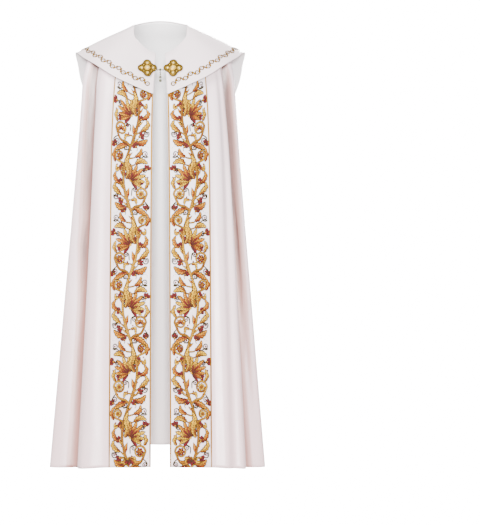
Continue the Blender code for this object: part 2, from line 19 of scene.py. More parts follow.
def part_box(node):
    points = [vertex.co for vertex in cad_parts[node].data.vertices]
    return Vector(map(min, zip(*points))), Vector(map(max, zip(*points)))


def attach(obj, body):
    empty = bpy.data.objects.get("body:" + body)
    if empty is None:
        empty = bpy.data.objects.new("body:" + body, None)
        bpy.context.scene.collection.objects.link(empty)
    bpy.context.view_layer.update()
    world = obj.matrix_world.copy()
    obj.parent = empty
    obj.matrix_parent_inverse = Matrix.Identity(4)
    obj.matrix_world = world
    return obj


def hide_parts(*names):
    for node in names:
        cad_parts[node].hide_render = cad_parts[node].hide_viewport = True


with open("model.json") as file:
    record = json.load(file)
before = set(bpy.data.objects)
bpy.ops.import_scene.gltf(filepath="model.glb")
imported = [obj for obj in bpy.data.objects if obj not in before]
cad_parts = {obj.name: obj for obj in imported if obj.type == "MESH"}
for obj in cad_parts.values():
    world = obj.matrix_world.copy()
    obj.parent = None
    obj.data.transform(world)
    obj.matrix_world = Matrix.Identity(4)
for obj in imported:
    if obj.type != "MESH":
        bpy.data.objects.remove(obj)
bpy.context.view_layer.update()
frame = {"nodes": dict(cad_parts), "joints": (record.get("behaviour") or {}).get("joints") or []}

SIDES = ((-1, "right"), (1, "left"))
TAU = 2 * math.pi

BODY_WALL = 0.002
COLLAR_WALL = 0.0022
BAND_WALL = 0.0014
SEAM_GAP = 0.0003
SIDE_SEAM_GAP = 0.0006
BAND_WIDTH = 0.136
SIDE_SEAM = 0.47
BAND_SHARE = 0.16
BAND_TOP_LEVEL = 3.5
COLLAR_TURN = 0.0031
COLLAR_CLEARANCE = 0.0058

RING_STEPS = 361
BODY_ROWS = 150
BAND_COLUMNS = 26
FRONT_COLUMNS = 62
BACK_COLUMNS = 76  # on each side
COLLAR_COLUMNS = 120  # on each side
COLLAR_ROWS = 60
TURN_ROWS = 4
COLLAR_SWEEPS = 4
COLLAR_RELAX = 6
NECK_CUT = 1.15  # how far the neckline lies below the top of the stand in front, in levels
NECK_CUT_END = 3.3  # the level above which the rows are drawn together under the cut
FLAT_FROM = 7.0  # below this level folds stand out level, so that the hem stays even
FOLD_DEPTH, CREASE_DEPTH = 0.013, 0.012  # how deep a fold or a crease is where its painted shade is full
HOLLOW_WINDOW = 17  # columns on each side whose mean height a hollow is measured from
LOW_FADE, LOW_FADE_FROM, LOW_FADE_RUN = 0.4, 6.5, 3  # how the painted shade of the folds weakens towards the hem
BACK_FADE = 0.34  # how much weaker the painted shade of the folds is behind
HEM_PAINTED_SHADE = (0.955, 0.845, 0.83)  # the painted shade that darkens the cloth towards the hem
WHITE = (1.0, 1.0, 1.0)

ROSETTE_X = 0.0412
ROSETTE_Z = -0.137
LOBE_OFFSET = 0.018
LOBE_RADIUS = 0.0128
HUB_RADIUS = 0.023
PLATE_THICKNESS = 0.0022
WIRE = 0.0007
LINK_RADIUS = 0.0022
CENTRE_STONE_RADIUS = 0.0042
DROP_STONE_RADIUS = 0.004
DROP_END_STONE_RADIUS = 0.0046
SETTING_SHARE = 0.86  # of a stone's stated radius, which takes in its setting
SMALL_STONE_HEIGHT = 0.002
STEM_LENGTH = 0.0085  # of the drop, from its ring to its upper stone
STONE_GAP = 0.0022
CLASP_SHARP = 40  # degrees between faces from which an edge is sharp
HINGE_TO_STONE = 0.0064  # from the drop's hinge up to the middle stone's centre

TASSEL_BALL_RADIUS = 0.0078
TASSEL_TOP_Z = -0.407
STRAND_LENGTH = 0.071
STRAND_SIDE = 0.0042
STRAND_PITCH = 0.0052
STRAND_RINGS = [(16, 0.0142, 0.0008), (8, 0.0082, 0.0004)]  # count, radius, outward lean per 10 mm
CORD_RADIUS, CORD_PITCH = 0.0013, 0.0034
NET_WIRES, NET_TWIST, NET_RADIUS, NET_LIFT = 9, 1.7, 0.00042, 0.0004  # of the net round the skirt's bell
TASSEL_SKIRT = [  # radius and height below the ball
    (0.0002, 0.0), (0.0048, -0.0006), (0.0062, -0.004), (0.0072, -0.009), (0.0086, -0.017),
    (0.01, -0.026), (0.0112, -0.0335), (0.015, -0.036), (0.0168, -0.0395), (0.016, -0.0435),
    (0.012, -0.0455), (0.0002, -0.0455),
]
SKIRT_ROPES = [  # radius, height below the skirt's top and thickness of each
    (0.0056, -0.0028, 0.0009), (0.0118, -0.0345, 0.0011), (0.0166, -0.0395, 0.0012), (0.0158, -0.0425, 0.001),
]

LENS, LENS_SHIFT, CAMERA_PLACE, CAMERA_DIP = 115.7, 0.1518, (0, -5.5, -0.55), 2.166
FLOOR_Z = -1.542
FLOOR_HALF = 60.0
BACKDROP = 21.0  # the white that the camera sees behind and below the cope
AMBIENT = 0.5
# Each sun: the way its light falls, its softness in degrees, its strength and its colour.
SUNS = [
    ("front", (0.0, 1.0, -0.04), 6, 6.5, (1.0, 0.985, 0.985)),
    ("fill", (-0.95, 1.0, -0.2), 30, 1.3, (0.985, 0.985, 1.0)),
    ("top", (0.05, 0.1, -1.0), 40, 2.0, (1.0, 1.0, 1.0)),
    ("behind", (-0.26, -1.0, -0.12), 12, 8.4, (1.0, 0.985, 0.985)),
    ("behind_fill", (0.7, -1.0, -0.2), 45, 2.0, (0.985, 0.985, 1.0)),
]
# Each softbox: where it stands, what it faces, its size, its power and its colour.
SOFTBOXES = [
    ("front_box", (-0.95, -2.3, 1.0), (0.0, 0.0, -0.6), 1.2, 150, (1.0, 0.985, 0.97)),
    ("back_box", (0.95, 2.3, 1.1), (0.0, 0.0, -0.6), 1.2, 250, (1.0, 0.985, 0.97)),
]

Section = namedtuple("Section", "z_side z_front z_back half_width front back power half_gap")
SECTIONS = np.array([
    (0.012, -0.074, 0.03, 0.086, 0.068, 0.066, 2.0, 0.0145),  # top of the stand
    (-0.005, -0.086, 0.0, 0.097, 0.078, 0.079, 2.0, 0.015),  # neck
    (-0.021, -0.107, -0.036, 0.127, 0.098, 0.1, 2.0, 0.0165),  # yoke
    (-0.048, -0.146, -0.09, 0.18, 0.118, 0.122, 2.1, 0.0185),  # shoulder
    (-0.088, -0.192, -0.15, 0.215, 0.131, 0.135, 2.2, 0.0205),  # head of the arm
    (-0.15, -0.25, -0.218, 0.23, 0.139, 0.145, 2.35, 0.0225),  # upper arm
    (-0.255, -0.325, -0.305, 0.236, 0.145, 0.153, 2.45, 0.024),  # chest
    (-0.48, -0.49, -0.485, 0.25, 0.154, 0.167, 2.55, 0.0255),  # waist
    (-0.765, -0.765, -0.765, 0.272, 0.169, 0.189, 2.6, 0.027),  # hip
    (-1.085, -1.082, -1.08, 0.297, 0.187, 0.215, 2.65, 0.0283),  # knee
    (-1.419, -1.397, -1.391, 0.324, 0.205, 0.243, 2.7, 0.0295),  # hem
])
HEM_LEVEL = len(SECTIONS) - 1

# The large folds: the level where each starts and how fast it grows, then on the wearer's right and left
# its girth at the top and at the hem and its full height. Two of them are on the left only.
FOLDS = [
    (3.0, 1.0, (0.0, 0.0, -0.001), (0.0, 0.0, -0.001)),  # front edge
    (3.0, 1.0, (0.08, 0.08, 0.004), (0.08, 0.08, 0.003)),  # crown of the band
    (3.0, 1.0, (0.17, 0.17, -0.002), (0.17, 0.17, -0.002)),  # the band's seam
    (3.0, 0.8, (0.25, 0.25, 0.012), (0.225, 0.215, 0.009)),  # front swell
    (4.0, 1.0, (), (0.255, 0.245, 0.001)),
    (3.5, 0.9, (), (0.28, 0.274, 0.011)),  # second swell
    (2.2, 0.6, (0.34, 0.336, -0.032), (0.345, 0.34, -0.032)),  # hollow in front of the arm
    (2.5, 0.8, (0.41, 0.405, 0.039), (0.415, 0.41, 0.02)),  # front of the arm
    (3.0, 1.0, (0.49, 0.49, 0.004), (0.495, 0.495, -0.006)),  # side of the arm
    (2.5, 0.8, (0.568, 0.568, 0.036), (0.57, 0.565, 0.019)),  # back of the arm
    (2.2, 0.6, (0.64, 0.628, -0.033), (0.64, 0.628, -0.035)),  # hollow behind the arm
    (3.5, 0.8, (0.735, 0.715, 0.016), (0.735, 0.715, 0.018)),
    (3.5, 0.8, (0.835, 0.83, -0.015), (0.83, 0.825, -0.016)),
    (3.5, 0.8, (0.925, 0.92, 0.014), (0.925, 0.924, 0.012)),
    (3.5, 0.8, (1.0, 1.0, 0.001), (1.0, 1.0, 0.001)),  # back centre
]

# Soft creases of the cloth: side, where each starts (girth, level) and ends (girth, level), how far its
# middle bends in girth, its half width in metres and its height.
CREASES = [
    (-1, 0.205, 4.6, 0.225, 9.6, 0.008, 0.016, 0.0026), (-1, 0.285, 5.2, 0.275, 10.0, -0.006, 0.02, -0.0035),
    (-1, 0.372, 6.2, 0.375, 9.9, 0.004, 0.01, 0.0029), (-1, 0.44, 4.2, 0.452, 8.8, 0.01, 0.018, -0.0042),
    (-1, 0.395, 3.4, 0.43, 6.4, -0.008, 0.012, 0.0032), (-1, 0.52, 4.4, 0.53, 9.6, 0.008, 0.016, 0.0044),
    (-1, 0.6, 5.0, 0.596, 8.4, -0.006, 0.01, 0.004), (-1, 0.67, 6.0, 0.68, 10.0, 0.006, 0.036, 0.0033),
    (-1, 0.775, 5.6, 0.77, 9.0, 0.008, 0.042, 0.0037), (-1, 0.865, 6.6, 0.88, 10.0, -0.006, 0.032, -0.0028),
    (-1, 0.96, 6.4, 0.955, 9.4, 0.006, 0.042, -0.0031), (-1, 0.74, 5.0, 0.8, 5.9, 0.012, 0.01, 0.006),
    (-1, 0.8, 5.1, 0.84, 6.6, -0.01, 0.011, 0.0052), (1, 0.195, 5.0, 0.19, 9.8, -0.006, 0.014, 0.0022),
    (1, 0.262, 4.4, 0.262, 8.0, 0.004, 0.012, -0.0032), (1, 0.312, 6.4, 0.305, 10.0, 0.006, 0.012, 0.0032),
    (1, 0.38, 5.6, 0.378, 9.0, -0.004, 0.01, 0.0026), (1, 0.45, 3.8, 0.462, 8.2, 0.01, 0.018, -0.0038),
    (1, 0.53, 5.0, 0.52, 9.8, -0.01, 0.016, 0.0048), (1, 0.604, 4.8, 0.6, 8.8, 0.006, 0.01, 0.0036),
    (1, 0.675, 5.6, 0.668, 9.6, 0.006, 0.032, 0.0037), (1, 0.78, 5.8, 0.762, 9.8, -0.008, 0.046, 0.0033),
    (1, 0.87, 6.2, 0.866, 9.2, 0.006, 0.032, 0.0031), (1, 0.962, 6.2, 0.972, 10.0, 0.008, 0.036, -0.0031),
    (1, 0.735, 5.1, 0.79, 6.0, -0.01, 0.01, 0.0052), (1, 0.83, 5.2, 0.85, 6.4, 0.008, 0.012, -0.003),
    (-1, 0.895, 5.2, 0.9, 10.0, 0.01, 0.055, 0.0039), (-1, 0.364, 2.6, 0.352, 8.8, 0.003, 0.011, -0.012),
    (1, 0.93, 5.4, 0.905, 10.0, -0.008, 0.05, 0.0039), (1, 0.362, 2.6, 0.354, 9.2, 0.003, 0.011, -0.016),
    (-1, 0.374, 2.8, 0.37, 8.8, 0.003, 0.008, -0.011), (1, 0.382, 4.6, 0.384, 9.8, 0.003, 0.008, -0.011),
    (-1, 0.3, 3.0, 0.305, 7.0, 0.004, 0.014, 0.005), (1, 0.3, 3.2, 0.302, 8.0, -0.004, 0.01, -0.005),
]

# Lines of painted shade down the darkest folds of the front: side, place round the cope at the top and the end,
# width, first and last level.
PAINTED_FOLD_LINES = [
    (1, 0.373, 0.373, 0.012, 3.2, 8.9), (1, 0.387, 0.364, 0.013, 6.4, 9.4),
    (-1, 0.372, 0.372, 0.009, 2.6, 8.0), (-1, 0.377, 0.345, 0.012, 6.6, 9.4),
]

# The collar's edge on one side, front to back: share of the way round the neck, x, y, z, and how far the
# cloth bows out between the neck and the edge.
MERIDIANS = [
    (0.0, 0.021, -0.156, -0.219, 0.004),  # front corner
    (0.1, 0.084, -0.157, -0.192, 0.006),
    (0.2, 0.15, -0.142, -0.16, 0.01),
    (0.3, 0.207, -0.104, -0.122, 0.01),
    (0.39, 0.246, -0.055, -0.097, 0.014),
    (0.47, 0.275, 0.0, -0.076, 0.012),  # tip over the shoulder
    (0.54, 0.27, 0.048, -0.114, 0.018),
    (0.62, 0.262, 0.092, -0.163, 0.02),  # side of the hood
    (0.71, 0.24, 0.136, -0.221, 0.018),
    (0.8, 0.2, 0.162, -0.279, 0.014),
    (0.9, 0.112, 0.178, -0.335, 0.01),
    (1.0, 0.0, 0.184, -0.377, 0.006),  # the hood's point
]


def unit(vectors):
    return vectors / np.maximum(np.linalg.norm(vectors, axis=-1, keepdims=True), 1e-12)


def dots(a, b):
    return (a * b).sum(axis=-1)


def on_circle(turn):
    return np.stack([np.cos(turn), np.sin(turn)], axis=1)


def round_points(count):
    """Angles evenly round a circle, and their places on it."""
    turn = np.linspace(0, TAU, count, endpoint=False)
    return turn, on_circle(turn)


def length_along(path):
    return np.concatenate([[0], np.cumsum(np.linalg.norm(np.diff(path, axis=0), axis=1))])


def read_line(at, along, path):
    """Points of a line at lengths along it."""
    return np.stack([np.interp(at, along, path[:, k]) for k in range(path.shape[1])], axis=1)


def smooth_rows(rows, at):
    """Catmull-Rom curve through rows of numbers, read at row positions."""
    rows = np.asarray(rows, float)
    padded = np.vstack([2 * rows[:1] - rows[1:2], rows, 2 * rows[-1:] - rows[-2:-1]])
    at = np.atleast_1d(np.asarray(at, float))
    index = np.clip(np.floor(at).astype(int), 0, len(rows) - 2)
    f = (at - index)[:, None]
    a, b, c, d = (padded[index + k] for k in range(4))
    return 0.5 * (2 * b + (c - a) * f + (2 * a - 5 * b + 4 * c - d) * f**2 + (3 * b - a - 3 * c + d) * f**3)


def grid_normals(points):
    """Unit normals of a grid of points, facing out where columns run round from the wearer's right."""
    return unit(np.cross(np.gradient(points, axis=1), np.gradient(points, axis=0)))


def grid_faces(rows, columns, closed=False):
    i, j = np.meshgrid(np.arange(rows - 1), np.arange(columns if closed else columns - 1), indexing="ij")
    nxt = (j + 1) % columns
    quads = [i * columns + j, i * columns + nxt, (i + 1) * columns + nxt, (i + 1) * columns + j]
    return np.stack(quads, axis=-1).reshape(-1, 4)


def surface_tree(*grids):
    points, faces = [], []
    for grid in grids:
        quads = grid_faces(*grid.shape[:2]) + len(points)
        points += [Vector(p) for p in grid.reshape(-1, 3)]
        faces += np.concatenate([quads[:, [0, 1, 2]], quads[:, [0, 2, 3]]]).tolist()
    return BVHTree.FromPolygons(points, faces)


def both(right, left):
    """The wearer's right half of a ring, then its left half back to the front; they share the back centre."""
    return np.concatenate([right, left[-2::-1]])


def ring_points(level, side, lengths):
    """Points of the unfolded cloth on one ring, at the lengths from the front centre that a function gives."""
    ring = Section(*smooth_rows(SECTIONS, level)[0])
    turn = np.linspace(0.0, math.pi, RING_STEPS)
    sine, cosine = np.sin(turn), np.cos(turn)
    x = ring.half_width * np.abs(sine) ** (2 / ring.power)
    y = np.where(cosine > 0, -ring.front, ring.back) * np.abs(cosine) ** (2 / ring.power)
    z = ring.z_side * sine**2 + np.where(cosine > 0, ring.z_front, ring.z_back) * cosine**2
    curve = np.stack([x, y, z], axis=1)
    along = length_along(curve)
    return read_line(lengths(ring, along[-1]), along, curve) * [side, 1, 1]


def girth_to_length(girth):
    """Returns a function that turns girth into length along a ring from the front centre."""

    def lengths(ring, half_girth):
        band_end = ring.half_gap + min(BAND_WIDTH, 0.42 * half_girth)
        share = (girth - BAND_SHARE) / (1 - BAND_SHARE)
        in_band = ring.half_gap + girth / BAND_SHARE * (band_end - ring.half_gap)
        return np.where(girth < BAND_SHARE, in_band, band_end + share * (half_girth - band_end))

    return lengths


def neck_level(share):
    """How far down the cloth the neckline lies, in levels, at a share of the way round the neck."""
    ease = np.clip((0.57 - share) / 0.26, 0, 1)
    return NECK_CUT * ease * ease * (3 - 2 * ease)


def fold_height(side, girth, level):
    """Height of the cloth over the figure, by easing between crests and hollows."""
    rows = [(start, growth, *sides[side > 0]) for start, growth, *sides in FOLDS if sides[side > 0]]
    start, growth, top, hem, height = np.array(rows).T
    places = top + (hem - top) * (level / HEM_LEVEL)
    heights = height * np.maximum(0.0, (level - start) / (HEM_LEVEL - start)) ** growth
    index = np.clip(np.searchsorted(places, girth, side="right") - 1, 0, len(rows) - 2)
    share = np.clip((girth - places[index]) / (places[index + 1] - places[index]), 0, 1)
    eased = (1 - np.cos(math.pi * share)) / 2
    return heights[index] * (1 - eased) + heights[index + 1] * eased


def crease_height(side, girth, level, half_girth):
    """Height of the small creases at one level."""
    total = np.zeros_like(girth)
    for which, first_girth, first, last_girth, last, bend, width, height in CREASES:
        share = (level - first) / (last - first)
        if which == side and 0 < share < 1:
            centre = first_girth + (last_girth - first_girth) * share
            centre += bend * math.sin(math.pi * share) + 0.3 * bend * math.sin(7 * share)
            fade = math.sin(math.pi * share) ** 0.7
            total += height * fade * np.exp(-(((girth - centre) * half_girth / width) ** 2))
    return total


def row_levels(count):
    """Levels whose rows are evenly spaced down the back."""
    fine = np.linspace(0, HEM_LEVEL, 400)
    heights = smooth_rows(SECTIONS[:, [2, 0]], fine)
    along = np.concatenate([[0], np.cumsum(np.abs(np.diff(heights.mean(axis=1))) + 0.0008)])
    return np.interp(np.linspace(0, along[-1], count), along, fine)


def body_girths():
    band = np.linspace(0, BAND_SHARE, BAND_COLUMNS + 1)
    front = np.linspace(BAND_SHARE, SIDE_SEAM, FRONT_COLUMNS + 1)[1:]
    back = np.linspace(SIDE_SEAM, 1, BACK_COLUMNS + 1)[1:]
    return np.concatenate([band, front, back])


def body_surface(levels, girths):
    """The cloth's outer face as a grid, and how much painted shade each of its points takes (0 to 1), from how deep
    it lies in a fold and from the lines of painted shade.
    """
    figure, folds, creases = [], [], []
    for level in levels:
        sides = [ring_points(level, side, girth_to_length(girths)) for side in (-1, 1)]
        half_girth = np.linalg.norm(np.diff(sides[0], axis=0), axis=1).sum()
        figure.append(both(*sides))
        folds.append(both(*[fold_height(side, girths, level) for side in (-1, 1)]))
        creases.append(both(*[crease_height(side, girths, level, half_girth) for side in (-1, 1)]))
    figure, folds, creases = map(np.array, (figure, folds, creases))
    normals = grid_normals(figure)
    normals[:, :, 2] *= 1 - np.clip(levels - FLAT_FROM, 0, 1)[:, None]
    surface = cut_neckline(figure + normals * (folds + creases)[:, :, None], levels, girths)
    # Painted shade of the folds: how deep each point lies in a fold or a sunken crease, weaker towards the hem
    eased = 1 - LOW_FADE * np.clip((levels[:, None] - LOW_FADE_FROM) / LOW_FADE_RUN, 0, 1)
    hollow = np.maximum(hollow_of(folds + creases), np.clip(-creases / CREASE_DEPTH, 0, 1)) * eased
    across = both(girths, girths)
    # Lines of painted shade down the darkest folds of the front
    for side, girth, end_girth, width, first, last in PAINTED_FOLD_LINES:
        centre = girth + (end_girth - girth) * np.clip((levels - first) / (last - first), 0, 1)
        ours = np.arange(len(across)) * side > (len(across) // 2) * side
        run = np.clip((levels - first) / 1.2, 0, 1) * np.clip((last - levels) / 1.6, 0, 1)
        line_shade = np.exp(-(((across - centre[:, None]) / width) ** 2)) * ours * run[:, None]
        hollow = np.maximum(hollow, line_shade)
    # The painted shade is weaker behind, except in the hollow behind the arm
    behind = np.clip((across - 0.48) / 0.06, 0, 1) * (1 - 0.7 * np.exp(-(((across - 0.64) / 0.05) ** 2)))
    return surface, hollow * (1 - BACK_FADE * behind)


def cut_neckline(surface, levels, girths):
    """The cloth with its top edge lowered to the neckline and the rows below it drawn together. The band
    takes up 0.44 of the way round the neck."""
    cut = neck_level(np.where(girths < BAND_SHARE, girths * 2.75, 0.44 + (girths - BAND_SHARE) * 0.667))
    cut = both(cut, cut)
    at = levels[:, None] + cut * np.clip(1 - levels[:, None] / NECK_CUT_END, 0, 1)
    return np.stack([read_line(at[:, j], levels, surface[:, j]) for j in range(len(cut))], axis=1)


def hollow_of(heights):
    """How far each point lies below the mean of its neighbours round the ring, from 0 to 1."""
    padded = np.pad(heights, ((0, 0), (HOLLOW_WINDOW, HOLLOW_WINDOW)), mode="edge")
    kernel = np.hanning(2 * HOLLOW_WINDOW + 1)
    kernel /= kernel.sum()
    mean = np.array([np.convolve(row, kernel, mode="valid") for row in padded])
    return np.clip((mean - heights) / FOLD_DEPTH, 0, 1)


def on_line(points, line):
    """Each point, moved to the nearest place on a line of points."""
    starts, steps = line[:-1], np.diff(line, axis=0)
    moved = []
    for point in points:
        share = np.clip(dots(point - starts, steps) / dots(steps, steps), 0, 1)
        places = starts + steps * share[:, None]
        moved.append(places[np.linalg.norm(places - point, axis=1).argmin()])
    return np.array(moved)


def neck_points(levels, side, shares):
    """Points at shares of the way round the neck, each at its own level."""

    def lengths(ring, half_girth):
        return ring.half_gap + shares * (half_girth - ring.half_gap)

    return np.array([ring_points(level, side, lengths)[k] for k, level in enumerate(levels)])


def collar_half(side, neck_edge, tree):
    """One half of the collar's outer face: rows from inside the neck edge, over it and out to the
    collar's own edge; columns front to back."""
    table = smooth_rows(MERIDIANS, np.linspace(0, len(MERIDIANS) - 1, COLLAR_COLUMNS + 1))
    share, edge, bow = np.clip(table[:, 0], 0, 1), table[:, 1:4] * [side, 1, 1], table[:, 4]
    cut = neck_level(share)
    seam = on_line(neck_points(cut, side, share), neck_edge)
    upward = unit(seam - neck_points(cut + 0.25, side, share))
    outward = unit(np.cross(np.gradient(seam, axis=0), upward)) * side
    end_turn = np.arctan2(-dots(edge - seam, upward), dots(edge - seam, outward))
    rows = [seam + upward * COLLAR_TURN - outward * BODY_WALL * 0.6]
    for turned_share in np.linspace(0, 1, TURN_ROWS):
        turn = (end_turn * turned_share)[:, None]
        rows.append(seam + (upward * np.cos(turn) + outward * np.sin(turn)) * COLLAR_TURN)
    top = rows.pop()
    middle = [m + np.array(tree.find_nearest(Vector(m))[1]) * b for m, b in zip((top + edge) / 2, bow)]
    for f in np.linspace(0, 1, COLLAR_ROWS + 1):
        rows.append((1 - f) ** 2 * top + 2 * f * (1 - f) * np.array(middle) + f**2 * edge)
    return np.array(rows)


def collar_surface(tree, neck_edge):
    """The collar's outer face, relaxed over the shoulders and kept clear of the cloth under it."""
    right, left = (collar_half(side, neck_edge, tree) for side in (-1, 1))
    grid = np.concatenate([right, left[:, -2::-1]], axis=1)
    first = TURN_ROWS + 1
    for _ in range(COLLAR_SWEEPS):
        for _ in range(COLLAR_RELAX):
            inner = (grid[first - 1 : -2, 1:-1] + grid[first + 1 :, 1:-1]) / 4
            inner += (grid[first:-1, :-2] + grid[first:-1, 2:]) / 4
            grid[first:-1, 1:-1] = (grid[first:-1, 1:-1] + inner) / 2
        for i in range(first, len(grid)):
            clearance = min(COLLAR_CLEARANCE, COLLAR_TURN + 0.0002 * (i - first))
            for point in grid[i]:
                place, normal, _, _ = tree.find_nearest(Vector(point))
                ahead = (Vector(point) - place).dot(normal)
                if ahead < clearance:
                    point += np.array(normal) * (clearance - ahead)
    return grid


class Shape:
    """Gathers grids of quads into one mesh, with a place on the cloth (uv, in metres), a material slot for
    each grid, and the point attributes that the materials read."""

    def __init__(self):
        self.points, self.quads, self.slots, self.uvs = [], [], [], []
        self.facts = {"along": [], "tone": []}
        self.count = 0

    def grid(self, points, slot=0, uv=(0.0, 0.0), along=0.0, tone=0.5, closed=False):
        rows, columns = points.shape[:2]
        quads = grid_faces(rows, columns, closed)
        self.quads.append(quads + self.count)
        self.slots.append(np.full(len(quads), slot))
        self.points.append(points.reshape(-1, 3))
        self.uvs.append(np.broadcast_to(uv, (rows, columns, 2)).reshape(-1, 2))
        for fact, value in (("along", along), ("tone", tone)):
            self.facts[fact].append(np.broadcast_to(value, (rows, columns)).reshape(-1))
        self.count += rows * columns

    def piece(self, name, looks, slot, body="cope", sharp=None, stands_for=None):
        points, quads = np.concatenate(self.points), np.concatenate(self.quads)
        mesh = bpy.data.meshes.new(name)
        mesh.vertices.add(len(points))
        mesh.vertices.foreach_set("co", points.astype(np.float32).ravel())
        mesh.loops.add(quads.size)
        mesh.loops.foreach_set("vertex_index", quads.ravel().astype(np.int32))
        mesh.polygons.add(len(quads))
        mesh.polygons.foreach_set("loop_start", np.arange(0, quads.size, 4, dtype=np.int32))
        mesh.polygons.foreach_set("material_index", np.concatenate(self.slots).astype(np.int32))
        mesh.update(calc_edges=True)
        mesh.polygons.foreach_set("use_smooth", np.ones(len(quads), dtype=bool))
        layer = mesh.uv_layers.new(name="cloth")
        layer.data.foreach_set("uv", np.concatenate(self.uvs)[quads.ravel()].astype(np.float32).ravel())
        for fact, values in self.facts.items():
            made = mesh.attributes.new(fact, "FLOAT", "POINT")
            made.data.foreach_set("value", np.concatenate(values).astype(np.float32))
        mesh.validate()
        for look in looks:
            mesh.materials.append(look)
        if sharp:
            mesh.set_sharp_from_angle(angle=math.radians(sharp))
        piece = in_scene(name, mesh)
        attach(piece, body)
        if stands_for:
            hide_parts(stands_for)
        return piece


def in_scene(name, data):
    made = bpy.data.objects.new(name, data)
    bpy.context.scene.collection.objects.link(made)
    return made


def cloth(name, outer, wall, looks, slot, stands_for, hollow=0.0):
    """A grid of outer points as a cloth shell of that thickness, grown inwards; the second look is for the
    inner face. Its uv is metres round the ring and down from the neck."""
    across = np.linalg.norm(np.diff(outer, axis=1), axis=2).mean(axis=0)
    down = np.linalg.norm(np.diff(outer, axis=0), axis=2).mean(axis=1)
    s, t = (np.concatenate([[0], np.cumsum(steps)]) for steps in (across, down))
    shape = Shape()
    # the along attribute of the cloth carries the mask of its painted fold shade
    shape.grid(outer, uv=uv_grid(s[None, :], t[:, None]), along=hollow)
    piece = shape.piece(name, looks, slot, stands_for=stands_for)
    shell = piece.modifiers.new("Wall", "SOLIDIFY")
    shell.thickness = wall
    shell.offset = -1
    shell.material_offset = 1
    return piece


def uv_grid(*values):
    return np.stack(np.broadcast_arrays(*values), axis=-1)


def edged(grid, first_gap, last_gap):
    """The grid with its first and last columns drawn in by half a seam gap."""
    grid = grid.copy()
    for edge, beside, gap in ((0, 1, first_gap), (-1, -2, last_gap)):
        grid[:, edge] += unit(grid[:, beside] - grid[:, edge]) * gap / 2
    return grid


class Value:
    """An output of a material's node, which +, - and * join to other values."""

    def __init__(self, look, socket):
        self.look, self.socket = look, socket

    def __add__(self, other):
        return self.look.math("ADD", self, other)

    def __sub__(self, other):
        return self.look.math("SUBTRACT", self, other)

    def __mul__(self, other):
        return self.look.math("MULTIPLY", self, other)

    def sine(self):
        return self.look.math("SINE", self)

    def wave(self, length):
        return (self * (TAU / length)).sine()


class Look:
    """A Principled material and short calls that add its nodes."""

    def __init__(self, name, **sockets):
        self.material = bpy.data.materials.new(name)
        self.material.use_nodes = True
        self.tree = self.material.node_tree
        self.shader = self.tree.nodes["Principled BSDF"]
        for socket, value in sockets.items():
            self.put(value, self.shader.inputs[socket.replace("_", " ").title().replace("Ior", "IOR")])

    def node(self, kind, *inputs, **settings):
        """Adds a node. Inputs come in the order of its sockets. A setting goes to the socket of that name, or
        else to the property."""
        made = self.tree.nodes.new(kind)
        for key, value in settings.items():
            if key in made.inputs:
                self.put(value, made.inputs[key])
            else:
                setattr(made, key, value)
        for index, value in enumerate(inputs):
            self.put(value, made.inputs[index])
        return made

    def out(self, kind, *inputs, output=0, **settings):
        return Value(self, self.node(kind, *inputs, **settings).outputs[output])

    def put(self, value, socket):
        if isinstance(value, Value):
            self.tree.links.new(value.socket, socket)
        elif value is not None:
            socket.default_value = (*value, 1) if isinstance(value, tuple) and socket.type == "RGBA" else value

    def to(self, socket, value):
        self.put(value, self.shader.inputs[socket])

    def math(self, operation, *inputs):
        return self.out("ShaderNodeMath", *inputs, operation=operation)

    def fact(self, name):
        return self.out("ShaderNodeAttribute", attribute_name=name, output="Fac")

    def noise(self, place, scale, detail=3.0):
        """Noise of one scale, or stretched noise where the scale has three numbers."""
        if isinstance(scale, tuple):
            place, scale = self.out("ShaderNodeMapping", place, Scale=scale), 1.0
        return self.out("ShaderNodeTexNoise", Vector=place, Scale=scale, Detail=detail, Roughness=0.5, output="Fac")

    def ramp(self, factor, *stops, ease="LINEAR"):
        """A colour ramp. Each stop is (place, colour) or (place, grey)."""
        made = self.node("ShaderNodeValToRGB", factor)
        made.color_ramp.interpolation = ease
        elements = made.color_ramp.elements
        while len(elements) < len(stops):
            elements.new(0.5)
        for element, (place, colour) in zip(elements, stops):
            element.position = place
            element.color = (*(colour if isinstance(colour, tuple) else (colour,) * 3), 1)
        return Value(self, made.outputs["Color"])

    def mix(self, factor, first, second, blend="MIX"):
        made = self.node("ShaderNodeMix", factor, data_type="RGBA", blend_type=blend)
        for value, index in ((first, 6), (second, 7)):  # its colour sockets
            self.put(value, made.inputs[index])
        return Value(self, made.outputs[2])

    def place(self):
        return self.out("ShaderNodeTexCoord", output="Object")

    def cloth_place(self):
        """The place on the cloth, whole and as its two numbers."""
        uv = self.out("ShaderNodeUVMap", uv_map="cloth")
        split = self.node("ShaderNodeSeparateXYZ", uv)
        return uv, Value(self, split.outputs[0]), Value(self, split.outputs[1])

    def bump(self, height, strength, distance, normal=None):
        return self.out("ShaderNodeBump", Strength=strength, Distance=distance, Height=height, Normal=normal)

    def uneven_roughness(self, noise, least, most):
        self.to("Roughness", self.out("ShaderNodeMapRange", noise, **{"To Min": least, "To Max": most}))


